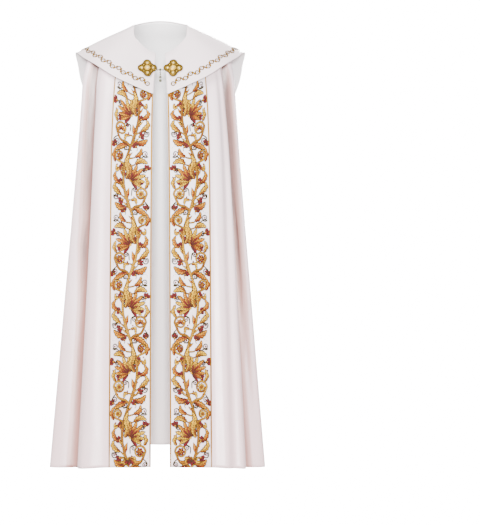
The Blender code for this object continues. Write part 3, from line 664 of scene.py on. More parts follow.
def satin(name, light, shade, folds, warp=0.0004, weft=0.0011, roughness=0.34):
    """Satin: long warp floats, slubs, a soft cloudiness, painted shade in the folds, and painted shade that darkens
    it towards the hem.
    """
    look = Look(name, roughness=roughness, sheen_weight=0.12, sheen_roughness=0.45, specular_ior_level=0.9)
    place = look.place()
    uv, u, v = look.cloth_place()
    colour = look.mix(look.ramp(look.noise(place, 2.6, 4), (0.35, 0.0), (0.65, 1.0)), light, shade)
    slub = look.ramp(look.noise(uv, (900, 26, 1), 2), (0.42, 0.0), (0.75, 0.1))
    colour = look.mix(slub, colour, shade, "MULTIPLY")
    # Painted shade, brownish, in the folds: the fold mask from the cloth, with a little noise
    hollow = look.fact("along") + (look.noise(uv, (46, 1.2, 1), 2) - 0.5) * 0.1
    fold_shade = look.ramp(hollow, (0.14, WHITE), *folds, ease="EASE")
    # Painted shade that darkens the cloth towards the hem, with a drifting edge
    low = look.out("ShaderNodeSeparateXYZ", place, output=2) * -0.72
    drift = look.noise(place, (5, 5, 1.4), 2) - 0.5
    hem_painted_shade = look.ramp(low + drift, (0.25, WHITE), (1.0, HEM_PAINTED_SHADE))
    look.to("Base Color", look.mix(1.0, look.mix(1.0, colour, hem_painted_shade, "MULTIPLY"), fold_shade, "MULTIPLY"))
    float_wave = u.wave(warp)
    weave = float_wave + (v * (TAU / weft) + float_wave).sine() * 0.6
    fine = look.bump(weave, 0.1, 0.00012)
    look.to("Normal", look.bump(look.noise(uv, (34, 7, 1), 3), 0.22, 0.003, fine))
    look.uneven_roughness(look.noise(uv, (60, 14, 1), 2), roughness - 0.07, roughness + 0.09)
    return look.material


def thread(name, *stops, pitch=0.0009, metallic=0.0, spread=0.4, ribs=0.0):
    """Satin stitch: threads lie across each shape, and the colour runs from its root to its tip."""
    look = Look(name, roughness=0.5, metallic=metallic, specular_ior_level=0.18)
    _, u, v = look.cloth_place()
    line = u + look.math("ABSOLUTE", v) * -0.8
    tone = (look.fact("tone") - 0.5) * spread
    mottle = (look.noise(look.place(), 260, 3) - 0.5) * 0.55
    colour = look.ramp(look.fact("along") + tone + mottle, *stops)
    strand = look.noise(look.out("ShaderNodeCombineXYZ", line, v), (2600, 90, 1), 1)
    colour = look.mix(look.ramp(strand, (0.3, 0.5), (0.62, 0.0)), colour, (0.4, 0.3, 0.22), "MULTIPLY")
    if ribs:
        dip = look.ramp(line.wave(ribs), (0.1, 0.0), (0.75, 0.85))
        colour = look.mix(dip, colour, (0.4, 0.18, 0.06), "MULTIPLY")
    look.to("Base Color", colour)
    look.to("Normal", look.bump(line.wave(pitch) + strand, 0.5, 0.00016))
    return look.material


def embroidery_looks():
    """The threads, in the order of the slots."""
    threads = {
        "yellow": (((0.0, (0.24, 0.052, 0.0)), (0.18, (0.46, 0.215, 0.0)), (0.55, (0.82, 0.49, 0.01))),
                   {"ribs": 0.0075}),
        "outline": (((0.2, (0.036, 0.023, 0.003)), (0.8, (0.016, 0.009, 0.002))), {"pitch": 0.0006}),
        "crimson": (((0.1, (0.06, 0.001, 0.005)), (0.6, (0.13, 0.003, 0.009)), (0.95, (0.22, 0.01, 0.018))), {}),
        "stem": (((0.1, (0.28, 0.115, 0.0)), (0.5, (0.58, 0.32, 0.004)), (0.9, (0.24, 0.09, 0.0))),
                 {"spread": 0.9, "ribs": 0.006}),
        "grey": (((0.2, (0.07, 0.085, 0.11)), (0.8, (0.16, 0.18, 0.22))), {}),
        "orange": (((0.0, (0.15, 0.006, 0.001)), (0.22, (0.38, 0.08, 0.0)), (0.7, (0.68, 0.3, 0.002))),
                   {"ribs": 0.0075}),
        "gold": (((0.2, (0.26, 0.11, 0.0)), (0.8, (0.36, 0.17, 0.0))), {"metallic": 0.1}),
        "field": (((0.3, (0.8, 0.75, 0.3)), (0.7, (0.85, 0.81, 0.42))), {"spread": 0.1}),
        "copper": (((0.2, (0.18, 0.066, 0.002)), (0.8, (0.3, 0.135, 0.004))), {}),
        "bronze": (((0.2, (0.042, 0.02, 0.001)), (0.8, (0.08, 0.04, 0.002))), {}),
        "olive": (((0.2, (0.07, 0.038, 0.001)), (0.8, (0.12, 0.068, 0.002))), {}),
    }
    return [thread("thread_" + name, *stops, **options) for name, (stops, options) in threads.items()]


def gilt(name, light, dark, roughness=0.27, grain=900):
    """Gilt metal: bright on its edges and darker in its recesses, from patina and painted shade; unevenly rough."""
    look = Look(name, metallic=0.84, roughness=roughness)
    place = look.place()
    # Patina and painted shade: dark in the recesses, light on the edges
    recess_patina_and_shade = look.ramp(look.out("ShaderNodeNewGeometry", output="Pointiness"), (0.44, 0.0), (0.56, 1.0))
    mottle = look.ramp(look.noise(place, 320, 3), (0.3, 0.0), (0.7, 0.35))
    look.to("Base Color", look.mix(mottle, look.mix(recess_patina_and_shade, dark, light), dark))
    look.uneven_roughness(look.noise(place, 700, 2), roughness - 0.08, roughness + 0.12)
    look.to("Normal", look.bump(look.noise(place, grain, 2), 0.25, 0.0002))
    return look.material


def stone(name, colour):
    """A cut stone, clear enough to show some of its setting."""
    look = Look(name, roughness=0.1, ior=1.6, specular_ior_level=0.45, transmission_weight=0.1)
    cloud = look.noise(look.place(), 900, 2)
    look.to("Base Color", look.ramp(cloud, (0.35, colour), (0.7, tuple(c * 0.72 for c in colour))))
    return look.material


def bullion(name, light, dark, metallic=0.6):
    """Bullion thread: fine coils round each strand."""
    look = Look(name, metallic=metallic, roughness=0.38, sheen_weight=0.15)
    _, u, v = look.cloth_place()
    tone = look.fact("tone") * 0.6 + look.noise(look.place(), 240, 3) * 0.5
    look.to("Base Color", look.ramp(tone, (0.36, dark), (0.66, light)))
    look.to("Normal", look.bump((u + v).wave(0.00055), 0.55, 0.00014))
    return look.material


def daylight():
    """A white studio: soft distant lamps, an even ambient light, and a brighter white behind everything."""
    world = bpy.data.worlds.new("studio")
    bpy.context.scene.world = world
    world.use_nodes = True
    nodes, links = world.node_tree.nodes, world.node_tree.links
    ambient = nodes["Background"]
    ambient.inputs["Color"].default_value = (1.0, 0.985, 0.985, 1)
    ambient.inputs["Strength"].default_value = AMBIENT
    backdrop = nodes.new("ShaderNodeBackground")
    backdrop.inputs["Strength"].default_value = BACKDROP
    rays, pick = nodes.new("ShaderNodeLightPath"), nodes.new("ShaderNodeMixShader")
    for index, output in enumerate((rays.outputs["Is Camera Ray"], ambient.outputs[0], backdrop.outputs[0])):
        links.new(output, pick.inputs[index])
    links.new(pick.outputs[0], nodes["World Output"].inputs["Surface"])
    for name, way, softness, strength, colour in SUNS:
        light = bpy.data.lights.new(name, "SUN")
        light.angle = math.radians(softness)
        place_lamp(light, strength, colour, (0, 0, 3), Vector(way))
    for name, place, aim, size, power, colour in SOFTBOXES:
        light = bpy.data.lights.new(name, "AREA")
        light.size = size
        place_lamp(light, power, colour, place, Vector(aim) - Vector(place))


def place_lamp(light, energy, colour, place, way):
    light.energy = energy
    light.color = colour
    lamp = in_scene(light.name, light)
    lamp.location = place
    lamp.rotation_euler = way.to_track_quat("-Z", "Y").to_euler()


def make_floor():
    """A plain white floor, lit to the same white as the backdrop and dimmer in the light that it gives back."""
    mesh = bpy.data.meshes.new("floor")
    corners = [(x * FLOOR_HALF, y * FLOOR_HALF, FLOOR_Z) for x, y in ((-1, -1), (1, -1), (1, 1), (-1, 1))]
    mesh.from_pydata(corners, [], [(0, 1, 2, 3)])
    look = Look("floor_white", roughness=0.9, specular_ior_level=0.1, emission_color=WHITE)
    seen = look.out("ShaderNodeLightPath", output="Is Camera Ray")
    grain = look.ramp(look.noise(look.place(), 220, 2), (0.3, 0.86), (0.7, 0.9))
    look.to("Base Color", look.mix(seen, (0.42, 0.4, 0.39), grain))
    look.to("Emission Strength", seen * (BACKDROP * 0.85))
    mesh.materials.append(look.material)
    in_scene("floor", mesh)


def make_camera():
    lens = bpy.data.cameras.new("camera")
    lens.lens = LENS
    lens.sensor_width = 36.0
    lens.sensor_fit = "AUTO"
    lens.shift_x = LENS_SHIFT
    lens.clip_end = 100
    eye = in_scene("camera", lens)
    eye.location = CAMERA_PLACE
    eye.rotation_euler = (math.radians(90 - CAMERA_DIP), 0, 0)
    bpy.context.scene.camera = eye


def curve_through(points, count):
    """A smooth line of that many evenly spaced points through a few guide points."""
    guide = smooth_rows(points, np.linspace(0, len(points) - 1, 12 * len(points)))
    along = length_along(guide)
    return read_line(np.linspace(0, along[-1], count), along, guide)


def spiral(centre, start, turns, end_radius, count=26):
    """A flat line from the start point that winds in round the centre; turns above 0 wind anticlockwise."""
    centre, start = np.array(centre, float), np.array(start, float)
    out = start - centre
    radius, angle = np.linalg.norm(out), math.atan2(out[1], out[0])
    share = np.linspace(0, 1, count)
    turn = angle + share * turns * TAU
    size = radius * (end_radius / radius) ** (share**0.85)
    return centre + on_circle(turn) * size[:, None]


def toward(angle):
    return np.array([math.cos(angle), math.sin(angle)])


def aside(way):
    """A flat way turned a quarter to the left."""
    return np.array([-way[1], way[0]])


def left_of(path):
    """Unit vectors to the left of a flat line's direction of travel."""
    step = unit(np.gradient(path, axis=0))
    return np.stack([-step[:, 1], step[:, 0]], axis=1)


def outside_in(count):
    """The numbers below count, from both ends to the middle."""
    return sorted(range(count), key=lambda k: -abs(k - (count - 1) / 2))


class Stitching:
    """Embroidery: strips, leaves and dots drawn flat in metres, then raised on the cloth by a placing
    function that takes flat points and heights and gives points in the row frame."""

    SINK = -0.0004  # how far the edges of a shape lie under the cloth's face

    def __init__(self, placing, mirrored=False):
        self.placing = placing
        self.mirrored = mirrored
        self.shape = Shape()

    def sheet(self, flat, height, slot, along, tone, uv, closed=False):
        points = self.placing(flat.reshape(-1, 2), height.reshape(-1)).reshape(*flat.shape[:2], 3)
        if self.mirrored == closed:
            points, uv = points[:, ::-1], uv[:, ::-1]
        self.shape.grid(points, slot, uv, along, tone, closed)

    def strip(self, path, width, height, slot, tone=0.5, base=0.0, across=(-1, -0.6, 0, 0.6, 1), fade=False):
        """A raised line of satin stitch; width is a number or one number for each point."""
        path, across = np.asarray(path, float), np.array(across)
        half = np.broadcast_to(np.asarray(width, float), len(path)) / 2
        crown = np.sqrt(np.clip(1 - across**2, 0, 1)) ** 0.8
        flat = path[:, None] + left_of(path)[:, None] * (half[:, None] * across)[:, :, None]
        profile = np.where(np.abs(across) > 0.99, self.SINK, base + height * crown)
        share = np.linspace(0, 1, len(path))
        ends = np.clip(np.minimum(share, 1 - share) * 12, 0.25, 1) if fade else np.ones(len(path))
        raised = np.where(profile > 0, profile * ends[:, None], profile)
        uv = uv_grid(length_along(path)[:, None], half[:, None] * across)
        self.sheet(flat, raised, slot, share[:, None], tone, uv)

    def cord(self, path, width, slot, height=None, tone=0.5, base=0.0):
        height = float(np.mean(width)) * 0.6 if height is None else height
        self.strip(path, width, height, slot, tone, base, (-1, 0, 1), True)

    def leaf(self, spine, width, slot, line_slot, lobes=0, notch=0.35, height=0.0011, tone=0.5, base=0.0, veins=0):
        """A leaf or petal on its spine, with a grooved middle, lobes cut into its sides, an outline
        and side veins."""
        spine = np.asarray(spine, float)
        count = len(spine)
        share = np.linspace(0, 1, count)
        phase = (share * lobes) % 1
        cut = notch * (1 - np.sin(math.pi * phase**0.6)) if lobes else 0
        half = np.sin(math.pi * share**0.8) ** 0.75 * width / 2 * (1 - cut)
        side = left_of(spine)
        step = unit(np.gradient(spine, axis=0))
        across = np.array([-1, -0.62, -0.12, 0, 0.12, 0.62, 1])
        lift = np.array([0, 0.85, 1.0, 0.55, 1.0, 0.85, 0])
        flat = spine[:, None] + side[:, None] * (half[:, None] * across)[:, :, None]
        flat += (step * (half * (0.3 * phase))[:, None])[:, None] * np.abs(across)[None, :, None]
        fullness = np.clip(half / (width * 0.22), 0.2, 1)[:, None]
        raised = np.where(np.abs(across) > 0.99, self.SINK, base + height * lift * fullness)
        uv = uv_grid(length_along(spine)[:, None], half[:, None] * across)
        self.sheet(flat, raised, slot, share[:, None], tone - 0.5 * np.sign(across), uv)
        line = min(0.0037, 0.0015 + width * 0.105)
        for edge in (0, -1):
            self.cord(flat[:, edge], line, line_slot, line * 0.75 + base, base=0)
        self.cord(spine[: int(count * 0.86)], line * 0.8, line_slot, line * 0.35, base=base + height * 0.72)
        for k in range(veins):
            at = int(count * (0.16 + 0.62 * k / veins))
            ahead = min(count - 1, at + int(count * 0.13))
            for sign in (-1, 1):
                end = spine[ahead] + side[ahead] * sign * half[ahead] * 0.66
                middle = (spine[at] + end) / 2 + step[at] * width * 0.03
                vein = curve_through([spine[at], middle, end], 5)
                self.cord(vein, line * 0.62, line_slot, line * 0.25, base=base + height * 0.98)

    def dot(self, centre, radius, slot, height=None, sides=8, tone=0.5):
        """A small raised round of stitches."""
        height = radius * 0.6 if height is None else height
        sizes, lifts = (0.02, 0.5, 0.85, 1.0), (1.0, 0.87, 0.5, None)
        flat = np.array([np.asarray(centre) + round_points(sides)[1] * radius * size for size in sizes])
        raised = np.array([np.full(sides, self.SINK if lift is None else height * lift) for lift in lifts])
        uv = flat - np.asarray(centre)
        self.sheet(flat[::-1], raised[::-1], slot, np.array(sizes)[::-1, None], tone, uv[::-1], closed=True)

    def petals(self, centre, size, count, slot, line_slot, facing=0.0, spread=TAU, width=0.5, tone=0.5,
               base=0.0, veins=0, points=12, lengths=(1.0,)):
        """Petals fanned round a point, over a spread of angle about the way it faces."""
        middle = (count - 1) / 2
        for place, k in enumerate(outside_in(count)):
            way = toward(facing + (k - middle) * spread / (count if spread == TAU else count - 1))
            reach = size * (1.0 if spread == TAU else lengths[min(abs(k - (count - 1) // 2), len(lengths) - 1)])
            guide = [centre + way * size * 0.12, centre + way * reach * 0.55, centre + way * reach]
            spine = curve_through(guide, points)
            self.leaf(spine, reach * width, slot, line_slot, tone=tone, base=base + 0.00012 * place, veins=veins)


def grid_placing(grid, cells):
    """A placing function on a grid of the cloth; cells turns flat points into rows and columns."""
    normals = grid_normals(grid)

    def placing(flat, height):
        row, column = (np.clip(at, 0, size - 1.001) for at, size in zip(cells(flat), grid.shape))
        i, j = row.astype(int), column.astype(int)
        f, g = (row - i)[:, None], (column - j)[:, None]

        def blend(values):
            upper = values[i, j] * (1 - g) + values[i, j + 1] * g
            lower = values[i + 1, j] * (1 - g) + values[i + 1, j + 1] * g
            return upper * (1 - f) + lower * f

        return blend(grid) + unit(blend(normals)) * height[:, None]

    return placing


def band_placing(band, side):
    """Flat x is across the band from its middle, away from the opening; y is up from the hem."""
    rows, columns = band.shape[:2]
    up = length_along(band[::-1, columns // 2])
    at = np.arange(rows)[::-1].astype(float)

    def cells(flat):
        share = flat[:, 0] / BAND_WIDTH + 0.5
        column = (share if side < 0 else 1 - share) * (columns - 1)
        return np.interp(flat[:, 1], up, at), column

    return grid_placing(band, cells), up[-1]


LEAF, LINE, CRIMSON, STEM, SPECK, ORANGE, GOLD, FIELD, COPPER, BRONZE, OLIVE = range(11)
SCROLL_STEP = 0.2035  # height of one bend of the main stem
SCROLL_BENDS = 6
SCROLL_SWING = 0.026
SCROLL_SEED = 11
SCROLL_WIDTH_SHARE = 0.885
LINE_WIDTH = 0.003
BUD_SCALE, LEAF_SCALE, SHEATH_SCALE = 1.28, 0.94, 0.88  # of the sizes and widths in the tables below
BRANCH_GIRTH = 0.0042
MAIN_GIRTH, MAIN_GIRTH_SWELL, MAIN_GIRTH_BEATS = 0.0088, 0.0014, 61
FAN_PLACE, FAN_SIZE, FAN_PETALS, FAN_BEND = (-0.001, 0.462), 0.06, 9, 0.2
BERRY_RADIUS, BERRY_HEIGHT = 0.0032, 0.0018
EDGING_X, EDGING_WIDTH = 0.0648, 0.006


def draw_bud(work, root, tip, size, turn=0.0):
    """A crimson bud on a thin bent stalk."""
    way = tip - root
    stalk = curve_through([root, (root + tip) / 2 + aside(way) * 0.22, tip], 9)
    work.cord(stalk, LINE_WIDTH, LINE)
    facing = math.atan2(*(stalk[-1] - stalk[-3])[::-1]) + turn
    work.petals(tip - way * 0.1, size, 3, CRIMSON, LINE, facing, 1.5, 0.66, tone=0.6, base=0.0003, points=9)
    work.leaf(curve_through([tip - way * 0.35, tip, tip + way * 0.12], 8), size * 0.42, ORANGE, LINE, base=0.0008)
    work.dot(tip, size * 0.17, LEAF, tone=0.3)


def draw_tendril(work, points, centre, turns, eye=0.0034, width=0.0042, slot=LINE):
    """A thin stem that leaves its first point and curls up round an eye."""
    guide = curve_through(points, 11)
    path = np.concatenate([guide[:-1], spiral(centre, guide[-1], turns, eye * 1.7, 22)])
    work.cord(path, np.linspace(width * 1.25, width * 0.85, len(path)), slot)
    work.dot(centre, eye, CRIMSON, tone=0.3)


def draw_rose(work, centre, size, turn):
    work.petals(centre, size, 6, CRIMSON, LINE, turn, width=0.72, tone=0.7, base=0.0005, veins=1)
    work.petals(centre, size * 0.64, 5, ORANGE, LINE, turn + 0.5, width=0.75, base=0.001, points=9)
    work.dot(centre, size * 0.22, LEAF, height=0.0021)


def draw_daisy(work, centre, size, turn):
    work.petals(centre, size, 8, LEAF, LINE, turn, base=0.0004, points=10)
    work.dot(centre, size * 0.3, CRIMSON, height=0.0018)
    work.dot(centre, size * 0.12, ORANGE, height=0.0024)


def draw_fan(work, centre, size, facing):
    """A wide fan of ribbed acanthus petals: orange and yellow in turn, crimson at its foot and heart."""
    middle = (FAN_PETALS - 1) / 2
    for place, k in enumerate(outside_in(FAN_PETALS)):
        share = (k - middle) / middle
        reach = size * (1.0 - 0.38 * abs(share) ** 1.5)
        way = toward(facing + share * 1.42)
        drift = aside(way) * share * FAN_BEND * reach
        spine = curve_through([centre + way * size * 0.06, centre + way * reach * 0.55 + drift * 0.3,
                               centre + way * reach + drift], 20)
        slot = CRIMSON if abs(share) > 0.8 else (ORANGE, LEAF)[place % 2]
        work.leaf(spine, reach * 0.29, slot, LINE, 3 if abs(share) < 0.7 else 0, 0.4,
                  tone=0.35 + 0.3 * (place % 2), base=0.0003 + 0.00014 * place, veins=3)
    for share, reach in ((-0.5, 0.5), (0.5, 0.5), (0.0, 0.62)):
        way = toward(facing + share)
        spine = curve_through([centre, centre + way * size * reach * 0.5, centre + way * size * reach], 10)
        work.leaf(spine, size * 0.115, CRIMSON, LINE, base=0.0019)
    work.dot(centre, size * 0.085, LEAF, height=0.0028)


def draw_tuft(work, centre, size, turn):
    """A half-open flower that stands upright, whatever the turn of the others."""
    foot = centre - [0, 0.005]
    work.petals(foot, size, 5, ORANGE, LINE, math.pi / 2, 2.6, 0.42, base=0.0005, veins=2)
    work.petals(foot, size - 0.008, 3, CRIMSON, LINE, math.pi / 2, 1.5, base=0.0012)


def draw_specks(work, start, end, bow):
    """A curved row of small grey-blue knots."""
    row = curve_through([start, (start + end) / 2 + aside(end - start) * bow, end], 5)
    for k, spot in enumerate(row):
        work.dot(spot, 0.0009 + 0.0004 * (k % 2), SPECK, sides=6)


def draw_stem(work, path, girth, tone=0.5):
    """A padded stem with an outline on each side and ribs along it."""
    work.strip(path, girth, 0.0014, STEM, tone=tone, base=0.0002)
    side = left_of(path) * (np.broadcast_to(girth, len(path)) / 2)[:, None]
    for share in (-1.0, 1.0):
        work.cord(path + side * share, LINE_WIDTH * 0.85, LINE, 0.0012)
    work.cord(path + side * 0.12, LINE_WIDTH * 0.5, LINE, 0.0004, base=0.0015)


def draw_sheath(work, main, start, end, sign, width, slot):
    """A leaf that hugs the main stem and turns its tip away from it."""
    part = main[int(start * len(main)) : int(end * len(main))]
    drift = np.linspace(0, 1, len(part))[:, None] ** 1.6
    spine = part + left_of(part) * sign * (0.0045 + 0.0125 * drift)
    work.leaf(spine[::2], width * SHEATH_SCALE, slot, LINE, 4, 0.45, tone=0.4, base=0.001, veins=4)


# What grows on one bend of the scroll. Places are x towards the side that the main stem swings to, in
# metres, and y up the bend, as a share of its height.
SHEATHS = [  # start and end of each on the main stem, its side, width and thread
    (0.03, 0.17, -1, 0.012, LEAF), (0.17, 0.33, 1, 0.014, ORANGE), (0.3, 0.44, -1, 0.013, LEAF),
    (0.5, 0.64, -1, 0.013, ORANGE), (0.64, 0.78, 1, 0.013, LEAF), (0.82, 0.96, 1, 0.013, ORANGE),
]
VOLUTES = [  # eye, first place of the curl from it, guide points, way it winds, last radius, girths, points
    ((-0.037, 0.245), (-0.0205, 0.0), ((0.0, -0.02), (-0.016, 0.045), (-0.04, 0.085)), -1, 0.0135,
     (0.0076, 0.004), 34),
    ((0.041, 0.835), (0.0005, -0.0165), ((0.02, 0.655), (0.026, 0.715)), 1, 0.0115, (0.0064, 0.0036), 36),
]
# Each leaf: its spine, width, thread, lobes, number of its loose tone, base height, side veins and points, and
# where on the main stem its side stem leaves, if it has one.
BEND_LEAVES = [
    (((0.034, 0.24), (0.05, 0.29), (0.06, 0.36), (0.054, 0.43)), 0.019, LEAF, 5, 2, 0.0008, 5, 30, 0.16),
    (((0.036, 0.42), (0.05, 0.45), (0.06, 0.52), (0.052, 0.6)), 0.017, ORANGE, 5, 12, 0.0008, 4, 28, 0.36),
    (((0.016, 0.05), (0.038, 0.04), (0.058, 0.12)), 0.022, ORANGE, 5, 3, 0.0008, 5, 30, 0.0),
    (((-0.012, 0.02), (-0.036, -0.02), (-0.059, -0.09)), 0.021, ORANGE, 5, 4, 0.0008, 5, 30, None),
    (((0.018, 0.47), (0.007, 0.6), (0.013, 0.76), (0.004, 0.87)), 0.025, LEAF, 6, 5, 0.001, 6, 36, None),
    (((-0.051, 0.33), (-0.061, 0.42), (-0.051, 0.52)), 0.015, LEAF, 3, 6, 0.0008, 3, 20, None),
    (((-0.016, 0.72), (-0.036, 0.77), (-0.06, 0.73)), 0.02, LEAF, 5, 7, 0.0008, 5, 30, 0.66),
    (((-0.016, 0.82), (-0.034, 0.87), (-0.038, 0.97)), 0.017, ORANGE, 4, 8, 0.0008, 4, 24, 0.78),
    (((0.056, 0.74), (0.064, 0.84), (0.056, 0.95)), 0.014, ORANGE, 3, 9, 0.0008, 3, 20, None),
    (((-0.002, 0.15), (-0.018, 0.15), (-0.022, 0.07)), 0.012, LEAF, 3, 10, 0.0008, 2, 20, 0.12),
    (((0.04, 0.66), (0.052, 0.62), (0.054, 0.7)), 0.011, LEAF, 0, 11, 0.0008, 2, 16, 0.56),
]
TENDRILS = [  # guide points, eye, turns, size of the eye
    (((0.04, 0.26), (0.05, 0.225), (0.062, 0.235)), (0.0535, 0.205), -1.2, 0.0034),
    (((-0.05, 0.13), (-0.064, 0.06), (-0.059, 0.01)), (-0.053, 0.045), -1.1, 0.0034),
    (((-0.036, 0.8), (-0.05, 0.84), (-0.062, 0.83)), (-0.053, 0.875), 1.15, 0.0034),
    (((-0.004, 0.22), (-0.004, 0.31), (-0.012, 0.34)), (-0.0155, 0.31), 1.1, 0.0034),
    (((-0.002, 0.92), (0.012, 0.93), (0.0215, 0.925)), (0.0155, 0.96), 1.1, 0.0034),
    (((-0.03, 0.6), (-0.044, 0.66), (-0.052, 0.62)), (-0.0455, 0.615), 1.1, 0.0022),
]
BUDS = [  # root (a lone height is on the main stem), tip, size, turn
    ((-0.022, 0.34), (-0.034, 0.415), 0.013, 0.3), (0.36, (0.035, 0.43), 0.012, 0),
    ((-0.042, 0.58), (-0.058, 0.645), 0.013, 0), (0.12, (0.034, 0.165), 0.013, -0.4),
    ((-0.02, 0.92), (-0.019, 0.985), 0.013, 0), ((0.05, 0.93), (0.058, 1.005), 0.0125, 0),
    (0.6, (0.03, 0.66), 0.011, -0.3),
]
BERRIES = [(0.03, 0.33), (-0.01, 0.19), (-0.03, 0.55), (0.026, 0.6), (-0.03, 0.81), (-0.06, 0.5),
           (0.05, 0.7), (0.03, 0.99), (-0.046, 0.14), (0.046, 0.2)]
SPECKS = [  # start, end and bow of each row of knots
    ((0.062, 0.3), (0.063, 0.38), 0.2), ((-0.063, 0.2), (-0.061, 0.13), -0.3),
    ((0.03, 0.5), (0.025, 0.57), 0.3), ((-0.022, 0.67), (-0.04, 0.69), 0.3),
    ((-0.062, 0.96), (-0.048, 1.0), 0.3),
]


FLOWERS = [  # the flower and its size in the lower and in the upper volute, by turns
    ((draw_rose, 0.013), (draw_daisy, 0.0108)), ((draw_daisy, 0.0132), (draw_rose, 0.011)),
    ((draw_tuft, 0.0175), (draw_rose, 0.0106)),
]


def draw_scroll(work):
    """One band's scroll, drawn upwards from the hem: x runs away from the opening, from the band's middle."""
    chance = np.random.default_rng(SCROLL_SEED)
    y = np.linspace(0.016, SCROLL_STEP * SCROLL_BENDS - 0.004, 240)
    main = np.stack([SCROLL_SWING * np.sin(math.pi * y / SCROLL_STEP), y], axis=1)
    draw_stem(work, main, MAIN_GIRTH + MAIN_GIRTH_SWELL * np.sin(y * MAIN_GIRTH_BEATS))
    for k in range(SCROLL_BENDS):
        side = 1 if k % 2 == 0 else -1
        draw_bend(work, k, side, chance)
        for start, end, sign, width, slot in SHEATHS:
            ends = (k + start) / SCROLL_BENDS, min(0.999, (k + end) / SCROLL_BENDS)
            draw_sheath(work, main, *ends, sign * side, width, slot)
    for points, slot in ((((0.002, 0.03), (0.02, 0.014), (0.044, 0.018)), LEAF),
                         (((0.0, 0.03), (-0.022, 0.014), (-0.046, 0.02)), ORANGE)):
        work.leaf(curve_through(points, 22), 0.018, slot, LINE, 4, base=0.0004, veins=5)
    work.petals((0.001, 0.026), 0.02, 3, CRIMSON, LINE, -math.pi / 2, 1.7, 0.62, base=0.0009, veins=1)


def draw_bend(work, k, s, chance):
    """One bend of the scroll: a wide fan in its hollow, two volutes with flowers, and what grows between
    them. s is the side that the main stem swings to."""

    def at(place, loose=0.0018):
        x, y = place
        return np.array([s * x, k * SCROLL_STEP + y * SCROLL_STEP]) + chance.uniform(-loose, loose, 2)

    def on_stem(y):
        return at((SCROLL_SWING * math.sin(math.pi * y), y), 0)

    tones = chance.uniform(0.3, 0.7, 16)
    eyes = []
    for tone, (eye, rim, guide, way, end, girths, count) in enumerate(VOLUTES):
        eye = at(eye, 0.001)
        rim = eye + np.array([s * rim[0], rim[1]])
        entry = curve_through([*[at(place, 0) for place in guide], rim], 18)
        curl = spiral(eye, rim, way * s * chance.uniform(0.95, 1.1), end, count)
        draw_stem(work, np.concatenate([entry[:-1], curl]), np.linspace(*girths, count + 17), tones[tone])
        eyes.append(eye)

    for points, width, slot, lobes, tone, base, veins, count, y in BEND_LEAVES:
        points = [at(place) for place in points]
        if y is not None:  # a side stem leaves the main stem along it and runs to the leaf's foot
            joint = points[0] + (points[0] - points[1]) * 0.25
            path = curve_through([on_stem(y - 0.05), on_stem(y), joint, points[0]], 14)
            draw_stem(work, path, np.linspace(BRANCH_GIRTH * 1.2, BRANCH_GIRTH * 0.8, 14), 0.4)
        spine = curve_through(points, count)
        work.leaf(spine, width * LEAF_SCALE, slot, LINE, lobes, 0.5, tone=tones[tone], base=base, veins=veins)
    draw_fan(work, at(FAN_PLACE), FAN_SIZE, math.pi / 2 + s * 0.84)

    turn = chance.uniform(0, 6)
    for place, (draw, size) in zip(eyes, FLOWERS[k % len(FLOWERS)]):
        draw(work, place, size, turn)

    for points, eye, turns, size in TENDRILS:
        draw_tendril(work, [at(place) for place in points], at(eye), s * turns, size)
    for root, tip, size, turn in BUDS:
        root = at(root) if isinstance(root, tuple) else on_stem(root)
        draw_bud(work, root, at(tip), size * BUD_SCALE, turn * s)
    for place in BERRIES:
        work.dot(at(place, 0.003), BERRY_RADIUS, CRIMSON, BERRY_HEIGHT)
    for start, end, bow in SPECKS:
        draw_specks(work, at(start), at(end), bow)


def make_band_work(band, side, word, looks):
    placing, reach = band_placing(band, side)
    work = Stitching(lambda flat, height: placing(flat * [SCROLL_WIDTH_SHARE, 1.0], height), mirrored=side < 0)
    draw_scroll(work)
    trim = Stitching(placing, mirrored=side < 0)
    up = np.linspace(0.002, reach - 0.004, 190)
    for x in (-EDGING_X, EDGING_X):
        trim.cord(np.stack([np.full(len(up), x), up], axis=1), EDGING_WIDTH, 0, EDGING_WIDTH * 0.35)
    return [work.shape.piece("scroll_" + word, looks, "band_silk"),
            trim.shape.piece("band_edging_" + word, [looks[GOLD]], "clasp_gold")]


BORDER_INSET = 0.03
BORDER_REPEAT = 0.0206
MEDALLION_Z = -0.1425
LOBE_CENTRE, LOBE_SIZE, BARB = 0.0715, 0.0795, 0.106  # of the barbed quatrefoil, in its own plane
FRAME_WIDTH = 0.024
FRAME_LINES = [  # inset from the quatrefoil's outline, width, thread, height
    (0.0012, 0.0036, OLIVE, 0.002), (0.0036, 0.0022, BRONZE, 0.0016), (0.0056, 0.003, COPPER, 0.0019),
    (-0.0008, 0.002, BRONZE, 0.0014), (FRAME_WIDTH - 0.0052, 0.0024, COPPER, 0.0017),
    (FRAME_WIDTH - 0.0032, 0.0022, BRONZE, 0.0015), (FRAME_WIDTH - 0.001, 0.0036, OLIVE, 0.002),
    (FRAME_WIDTH + 0.0012, 0.002, BRONZE, 0.0014),
]
EARS = [  # stalk of each ear of wheat on one side of the medallion, and its pairs of grains
    (((-0.022, -0.112), (0.0, -0.075), (0.026, -0.044), (0.052, -0.018), (0.064, 0.014)), 6),
    (((-0.012, -0.118), (0.0, -0.075), (0.02, -0.034), (0.036, 0.002), (0.042, 0.05)), 6),
    (((-0.032, -0.104), (0.0, -0.076), (0.032, -0.06), (0.064, -0.048), (0.084, -0.024)), 6),
    (((0.012, 0.05), (0.018, 0.066), (0.03, 0.084)), 5),
]
VINE_LEAVES = [  # place, size, and the angle that each faces
    ((0.091, 0.04), 0.027, 0.9), ((0.064, 0.071), 0.0235, 1.9), ((0.056, -0.088), 0.025, -0.9),
    ((0.108, 0.006), 0.023, 0.2), ((0.098, -0.034), 0.02, -0.3), ((0.046, 0.1), 0.015, 1.2),
]
